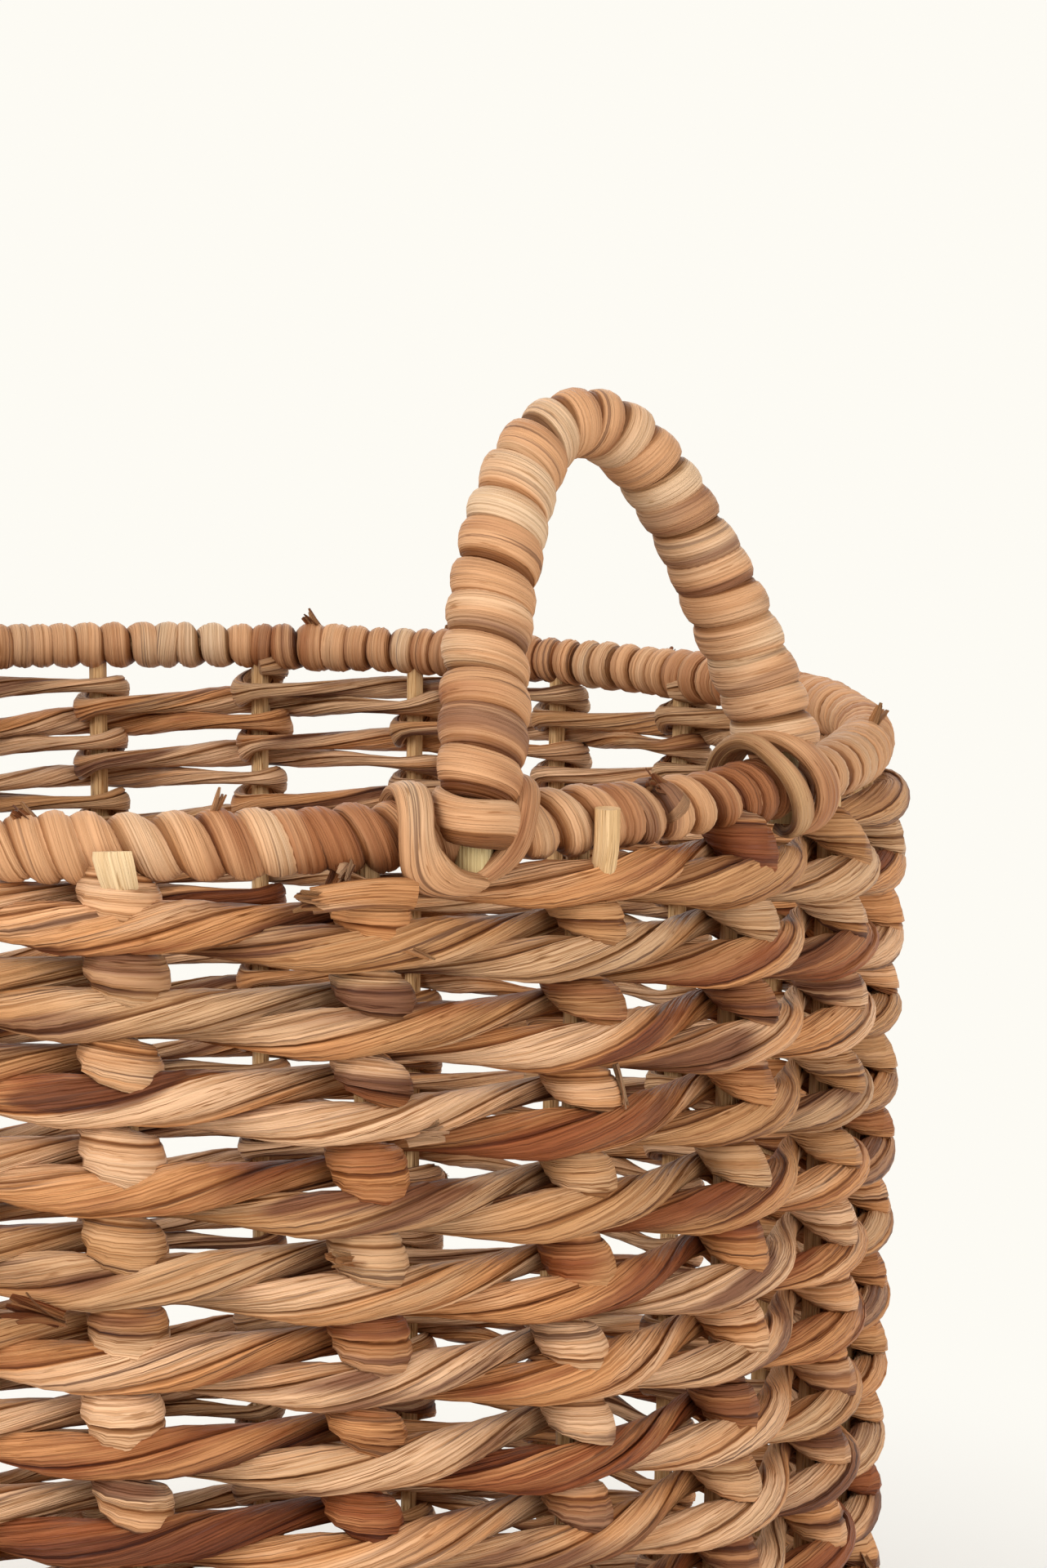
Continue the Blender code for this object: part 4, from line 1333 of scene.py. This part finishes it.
@dataclass(frozen=True)
class Ends:
    """Cut and frayed ends of strands and stakes, as they stick out here and there."""

    strand: bpy.types.Material
    pale: bpy.types.Material
    wall_count: int = 30
    rim_count: int = 12
    tips: Keys = ((-1, 0.0040), (5, 0.0015), (8, 0.0050), (13, 0.0030), (16, 0.0010), (20, 0.0045))

    def build(self) -> None:
        """Makes the frayed ends, the flat strand ends and the stake tips in front of the rim."""
        rng = np.random.default_rng(71)
        ends = self.seen_ends() + self.more_ends(rng)
        fibres = [self.fibre(rng, end, number) for end in ends for number in range(end.fibres)]
        self.join(fibres, "frayed_ends")
        finish_piece(bpy.context.object, "hyacinth_strand")
        tips = [self.stake_tip(index, rise) for index, rise in self.tips]
        tips.append(self.torn_tip())
        self.join(tips, "stake_tips")
        finish_piece(bpy.context.object, "rattan")
        self.flap()

    @staticmethod
    def join(pieces: list[bpy.types.Object], name: str) -> None:
        """Joins pieces into one that takes the name.

        Args:
            pieces: The pieces.
            name: Name of the new one.
        """
        select_none()
        for piece in pieces:
            piece.select_set(True)
        bpy.context.view_layer.objects.active = pieces[0]
        bpy.ops.object.join()
        bpy.context.object.name = name
        bpy.context.object.data.name = name

    @staticmethod
    def wall_end(index: float, drop: float, out: float, to: tuple[float, float, float], **sizes) -> LooseEnd:
        """End on the wall.

        Args:
            index: Its place, counted in stakes.
            drop: Its distance below the middle of the rim.
            out: Its distance out of the stakes' line.
            to: Direction: to the right, up and out.
            sizes: Other values of the end.

        Returns:
            The end.
        """
        angle = np.array([FORM.stake_direction(index)])
        station = np.array([FORM.rim_station - drop])
        point, up, outwards = FORM.place(angle, station, np.array([out]), np.zeros(1))
        right = np.array([-math.sin(angle[0]), math.cos(angle[0]), 0.0])
        way = to[0] * right + to[1] * up[0] + to[2] * outwards[0]
        return LooseEnd(tuple(point[0]), tuple(way), **sizes)

    @staticmethod
    def rim_end(angle: float, turn: float, to: tuple[float, float], **sizes) -> LooseEnd:
        """End on the rim.

        Args:
            angle: Its place round the basket in degrees.
            turn: Its place round the roll in degrees, from outwards over upwards.
            to: Direction: to the right and away from the roll.
            sizes: Other values of the end.

        Returns:
            The end.
        """
        place = np.array([math.radians(angle)])
        root = np.array([FORM.rim_roll_radius - RIM_ROOT_DEPTH])
        point, away = FORM.on_rim(place, np.array([math.radians(turn)]), root)
        right = np.array([-math.sin(place[0]), math.cos(place[0]), 0.0])
        return LooseEnd(tuple(point[0]), tuple(to[0] * right + to[1] * away[0]), **sizes)

    def seen_ends(self) -> list[LooseEnd]:
        """The ends that the photograph shows.

        Returns:
            The ends on the rim and on the wall.
        """
        return [
            self.rim_end(-43.0, 75, (-0.6, 0.7), look=Look.DARK, fibres=7, width=0.006, length=0.004),
            self.rim_end(-32.0, 80, (0.3, 1.0), look=Look.TAWNY, fibres=5, width=0.003, length=0.006),
            self.rim_end(-1.5, 66, (-0.7, 0.4), look=Look.DARK, fibres=8, width=0.007, length=0.004),
            self.rim_end(33.0, 66, (0.4, 1.0), look=Look.TAWNY, fibres=4, width=0.003, length=0.006),
            self.rim_end(37.0, 60, (0.6, 0.8), look=Look.TAWNY, fibres=4, width=0.003, length=0.004),
            self.wall_end(-1.84, 0.063, 0.0090, (0.9, 0.3, 0.6), look=Look.PALE, width=0.005, length=0.007),
            self.wall_end(-0.88, 0.057, 0.0085, (0.2, -1.0, 0.3), look=Look.PALE, width=0.003, length=0.008),
            self.wall_end(-1.95, 0.021, 0.0095, (0.8, -0.4, 0.2), look=Look.TAWNY, width=0.004, length=0.009),
            self.wall_end(-3.30, 0.098, 0.0080, (-0.8, 0.5, 0.5), look=Look.DARK, width=0.008, length=0.012,
                          fibres=8),
            self.wall_end(-2.10, 0.090, 0.0085, (-0.8, 0.3, 0.3), look=Look.TAWNY, width=0.006, length=0.007),
            self.wall_end(-2.29, 0.0105, 0.0116, (-1.0, 0.1, 0.1), look=Look.TAWNY, fibres=7, width=0.006,
                          length=0.004),
            self.rim_end(-24.0, -35, (-0.4, 0.6), look=Look.PALE, fibres=7, width=0.005, length=0.006),
            self.rim_end(-24.6, -62, (-0.2, 0.6), look=Look.DARK, fibres=6, width=0.005, length=0.006),
        ]

    def more_ends(self, rng: np.random.Generator) -> list[LooseEnd]:
        """Ends scattered over the rest of the basket.

        Args:
            rng: Seeded source of the draws.

        Returns:
            The ends on the wall, then those on the rim.
        """
        looks = list(Look)
        ends = []
        for _ in range(self.wall_count):
            index, drop = rng.uniform(2.0, 20.0), rng.uniform(0.02, 0.31)
            way = (rng.uniform(-1, 1), rng.uniform(-0.6, 0.3), rng.uniform(0.2, 0.6))
            ends.append(self.wall_end(round(index) + rng.uniform(-0.15, 0.15), drop, 0.0085, way,
                                      look=looks[rng.integers(3)], width=rng.uniform(0.003, 0.006),
                                      length=rng.uniform(0.005, 0.009)))
        for _ in range(self.rim_count):
            ends.append(self.rim_end(rng.uniform(50, 305), rng.uniform(20, 110),
                                     (rng.uniform(-0.8, 0.8), rng.uniform(0.5, 1.0)),
                                     look=looks[rng.integers(2)], width=rng.uniform(0.002, 0.005),
                                     length=rng.uniform(0.004, 0.008)))
        return ends

    def fibre(self, rng: np.random.Generator, end: LooseEnd, number: int) -> bpy.types.Object:
        """One fibre of a frayed end.

        Args:
            rng: Seeded source of the draws.
            end: The frayed end.
            number: Number of the fibre.

        Returns:
            The fibre, curved away from its neighbours.
        """
        way = unit(np.array(end.to))
        flat = unit(np.cross(way, rng.normal(size=3)))
        side = np.cross(way, flat)
        spread = (number + 0.5) / end.fibres - 0.5
        count = len(FIBRE_TAPER)
        share = np.linspace(0.0, 1.0, count)
        length = end.length * rng.uniform(0.65, 1.1)
        root = np.array(end.at) - way * FIBRE_ROOT + side * spread * end.width * 0.5
        bow = side * spread * end.width * 0.5 + flat * rng.uniform(-1, 1) * end.length * 0.3
        points = root + share[:, None] * way * (length + FIBRE_ROOT) + share[:, None] ** 2 * bow
        width = end.width / end.fibres * rng.uniform(1.0, 1.9) * FIBRE_TAPER
        tone = np.full(count, end.look.value + 0.12 * rng.uniform(-1, 1))
        track = Track(points, np.broadcast_to(side, points.shape), np.full(count, FIBRE_THICK), width,
                      np.zeros(count), tone)
        return StrandMaker(FIBRE_SECTION, int(rng.integers(600, 900))).make("fibre", track, self.strand)

    def stake_tip(self, index: int, rise: float) -> bpy.types.Object:
        """Stake whose tip stands in front of the rim instead of inside it.

        Args:
            index: The stake.
            rise: Height of its cut above the middle of the rim.

        Returns:
            The tip.
        """
        drop = np.array([0.026, 0.020, 0.014, 0.009, 0.005, 0.002, -rise * 0.5, -rise])
        out = np.array([0.0010, 0.0032, 0.0066, 0.0090, 0.0098, 0.0100, 0.0100, 0.0100])
        angle = np.full(len(drop), FORM.stake_direction(index))
        points, _, outwards = FORM.place(angle, FORM.rim_station - drop, out, np.zeros(len(drop)))
        size = np.full(len(drop), FORM.stake_radius)
        track = Track(points, outwards, size, size, np.zeros(len(drop)), np.full(len(drop), 0.6))
        return StrandMaker(ROD_SECTION, 620 + index).make("tip", track, self.pale)

    def torn_tip(self) -> bpy.types.Object:
        """Flattened and torn tip of a stake that leans on the front of the rim.

        Returns:
            The tip.
        """
        drop = np.array([0.013, 0.010, 0.007, 0.003, 0.000, -0.0008])
        out = np.array([0.0050, 0.0062, 0.0084, 0.0098, 0.0094, 0.0093])
        place = FORM.stake_direction(-3) + np.array([0.0, 0.0, -0.0006, -0.0015, -0.0022, -0.0022]) / 0.2
        points, _, outwards = FORM.place(place, FORM.rim_station - drop, out, np.zeros(len(drop)))
        along = unit(np.gradient(points, axis=0))
        wide = np.cross(along, outwards)
        track = Track(points, wide, np.full(len(drop), 0.0011),
                      np.array([0.0026, 0.0032, 0.0038, 0.0041, 0.0042, 0.0040]), np.zeros(len(drop)),
                      np.full(len(drop), 0.95))
        return StrandMaker(ROD_SECTION, 660).make("tip", track, self.pale)

    def flap(self) -> None:
        """Flat strand end that comes out from under the lashing and points to the left."""
        share = np.linspace(0.0, 1.0, 10)
        angle = np.radians(-20.5 - 6.4 * share)
        drop = 0.0108 - 0.0012 * np.sin(math.pi * share) - 0.0002 * share
        out = 0.0094 + 0.0028 * np.sin(math.pi * share * 0.8)
        points, up, _ = FORM.place(angle, FORM.rim_station - drop, out, np.zeros(len(share)))
        count = len(share)
        track = Track(points, up, np.full(count, 0.0012), np.linspace(0.0034, 0.0029, count), np.zeros(count),
                      np.linspace(0.35, 0.5, count))
        piece = StrandMaker(LASH_SECTION, 680).make("strand_flap", track, self.strand)
        finish_piece(piece, "hyacinth_strand")


# Studio


@dataclass(frozen=True)
class Lamp:
    """Square soft lamp, its size in metres and its power in watts."""

    label: str
    place: tuple[float, float, float]
    size: float
    power: float


@dataclass(frozen=True)
class Studio:
    """Pale floor, soft light and the camera at the photograph's viewing angle."""

    lens: float = 78.9
    camera_place: tuple[float, float, float] = (0.7132, -0.5633, 0.4764)
    heading: float = math.radians(134.73)
    dip: float = math.radians(8.35)
    roll: float = math.radians(0.34)
    backdrop: Colour = (0.985, 0.965, 0.905)
    floor_size: float = 30.0
    floor_colour: Colour = (0.93, 0.91, 0.87)
    floor_clear: tuple[float, float] = (0.30, 0.64)
    room_colour: Colour = (1.0, 0.985, 0.96)
    room_strength: float = 0.62
    lamp_aim: tuple[float, float, float] = (0.0, 0.0, 0.22)
    lamps: tuple[Lamp, ...] = (
        Lamp("key", (0.15, -1.75, 1.5), 1.2, 30.0),
        Lamp("fill", (2.0, 0.1, 1.1), 1.6, 17.0),
        Lamp("back", (-1.2, 1.4, 1.6), 1.6, 12.0),
    )

    def build(self) -> None:
        """Sets up the whole studio."""
        bpy.context.scene.view_settings.view_transform = "Standard"
        self.make_floor()
        self.make_world()
        self.make_lamps()
        self.make_camera()

    def make_floor(self) -> None:
        """Wide pale floor that takes the basket's shadow and runs out into the backdrop's colour."""
        select_none()
        bpy.ops.mesh.primitive_plane_add(size=self.floor_size)
        floor = bpy.context.object
        floor.name = "floor"
        made = bpy.data.materials.new("pale_floor")
        made.use_nodes = True
        sheet = Sheet(made.node_tree)
        near = sheet.add("ShaderNodeBsdfPrincipled", {"Base Color": (*self.floor_colour, 1.0),
                                                      "Roughness": 0.9, "Specular IOR Level": 0.0})
        far = sheet.add("ShaderNodeEmission", {"Color": (*self.backdrop, 1.0), "Strength": 1.0})
        place = sheet.add("ShaderNodeTexCoord").outputs["Object"]
        reach = sheet.add("ShaderNodeVectorMath", {0: place}, operation="LENGTH").outputs["Value"]
        looks = self.looking(sheet)
        share = sheet.times(looks, sheet.span(reach, *self.floor_clear))
        mixed = sheet.add("ShaderNodeMixShader", {0: share, 1: near.outputs[0], 2: far.outputs[0]})
        sheet.add("ShaderNodeOutputMaterial", {"Surface": mixed.outputs[0]})
        floor.data.materials.append(made)

    @staticmethod
    def looking(sheet: Sheet) -> bpy.types.NodeSocket:
        """Mask of the rays by which the camera sees something directly, in gloss or through glass."""
        rays = sheet.add("ShaderNodeLightPath").outputs
        return sheet.math("MAXIMUM", rays["Is Camera Ray"],
                          sheet.math("MAXIMUM", rays["Is Glossy Ray"], rays["Is Transmission Ray"]))

    def make_world(self) -> None:
        """Soft light from all round, and the photograph's warm white where the view passes the basket."""
        world = bpy.data.worlds.new("soft_room")
        bpy.context.scene.world = world
        world.use_nodes = True
        sheet = Sheet(world.node_tree)
        light = sheet.add("ShaderNodeBackground", {"Color": (*self.room_colour, 1.0),
                                                    "Strength": self.room_strength})
        seen = sheet.add("ShaderNodeBackground", {"Color": (*self.backdrop, 1.0), "Strength": 1.0})
        looks = self.looking(sheet)
        mixed = sheet.add("ShaderNodeMixShader", {0: looks, 1: light.outputs[0], 2: seen.outputs[0]})
        sheet.add("ShaderNodeOutputWorld", {"Surface": mixed.outputs[0]})

    def make_lamps(self) -> None:
        """Large soft lamps: the key from the front left above, a fill from the right and one from behind."""
        for lamp in self.lamps:
            select_none()
            bpy.ops.object.light_add(type="AREA", location=lamp.place)
            made = bpy.context.object
            made.name = f"{lamp.label}_lamp"
            made.data.size = lamp.size
            made.data.energy = lamp.power
            aim = Vector(self.lamp_aim) - Vector(lamp.place)
            made.rotation_euler = aim.to_track_quat("-Z", "Y").to_euler()

    def make_camera(self) -> None:
        """Camera at the place found by fitting the rim, the stakes and the rows."""
        ahead = Vector((math.cos(self.heading) * math.cos(self.dip),
                        math.sin(self.heading) * math.cos(self.dip), -math.sin(self.dip)))
        level = Vector((math.sin(self.heading), -math.cos(self.heading), 0.0))
        above = level.cross(ahead)
        right = math.cos(self.roll) * level + math.sin(self.roll) * above
        up = math.cos(self.roll) * above - math.sin(self.roll) * level
        select_none()
        bpy.ops.object.camera_add()
        camera = bpy.context.object
        camera.name = "photo_camera"
        camera.data.sensor_width = 36.0
        camera.data.lens = self.lens
        camera.data.clip_start = 0.01
        turn = Matrix((right, up, -ahead)).transposed().to_4x4()
        turn.translation = Vector(self.camera_place)
        camera.matrix_world = turn
        bpy.context.scene.camera = camera


def dress_node(name: str, material: bpy.types.Material) -> None:
    """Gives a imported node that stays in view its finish.

    Args:
        name: Name of the node.
        material: Its finish.
    """
    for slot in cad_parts[name].material_slots:
        slot.material = material
    LOG.info("%s: packed shape, new finish", name)


def main() -> None:
    """Builds the studio and the basket, piece by piece."""
    logging.basicConfig(level=logging.INFO, format="%(name)s %(message)s")
    Studio().build()
    group = Fibre().group()
    strand, wrap, rattan, cut, young = (finish.material(group) for finish in (
        STRAND_FINISH, WRAP_FINISH, RATTAN_FINISH, TIP_FINISH, YOUNG_FINISH))
    for name in sorted(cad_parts):
        if name.startswith("stake_rod") or name == "rim_hoop":
            dress_node(name, rattan)
    Wall(strand).build()
    Base(strand).build()
    Rim(wrap).build()
    for side in ("right", "left"):
        Handle(side, wrap, young).build()
    Ends(strand, cut).build()


if __name__ == "__main__":
    main()
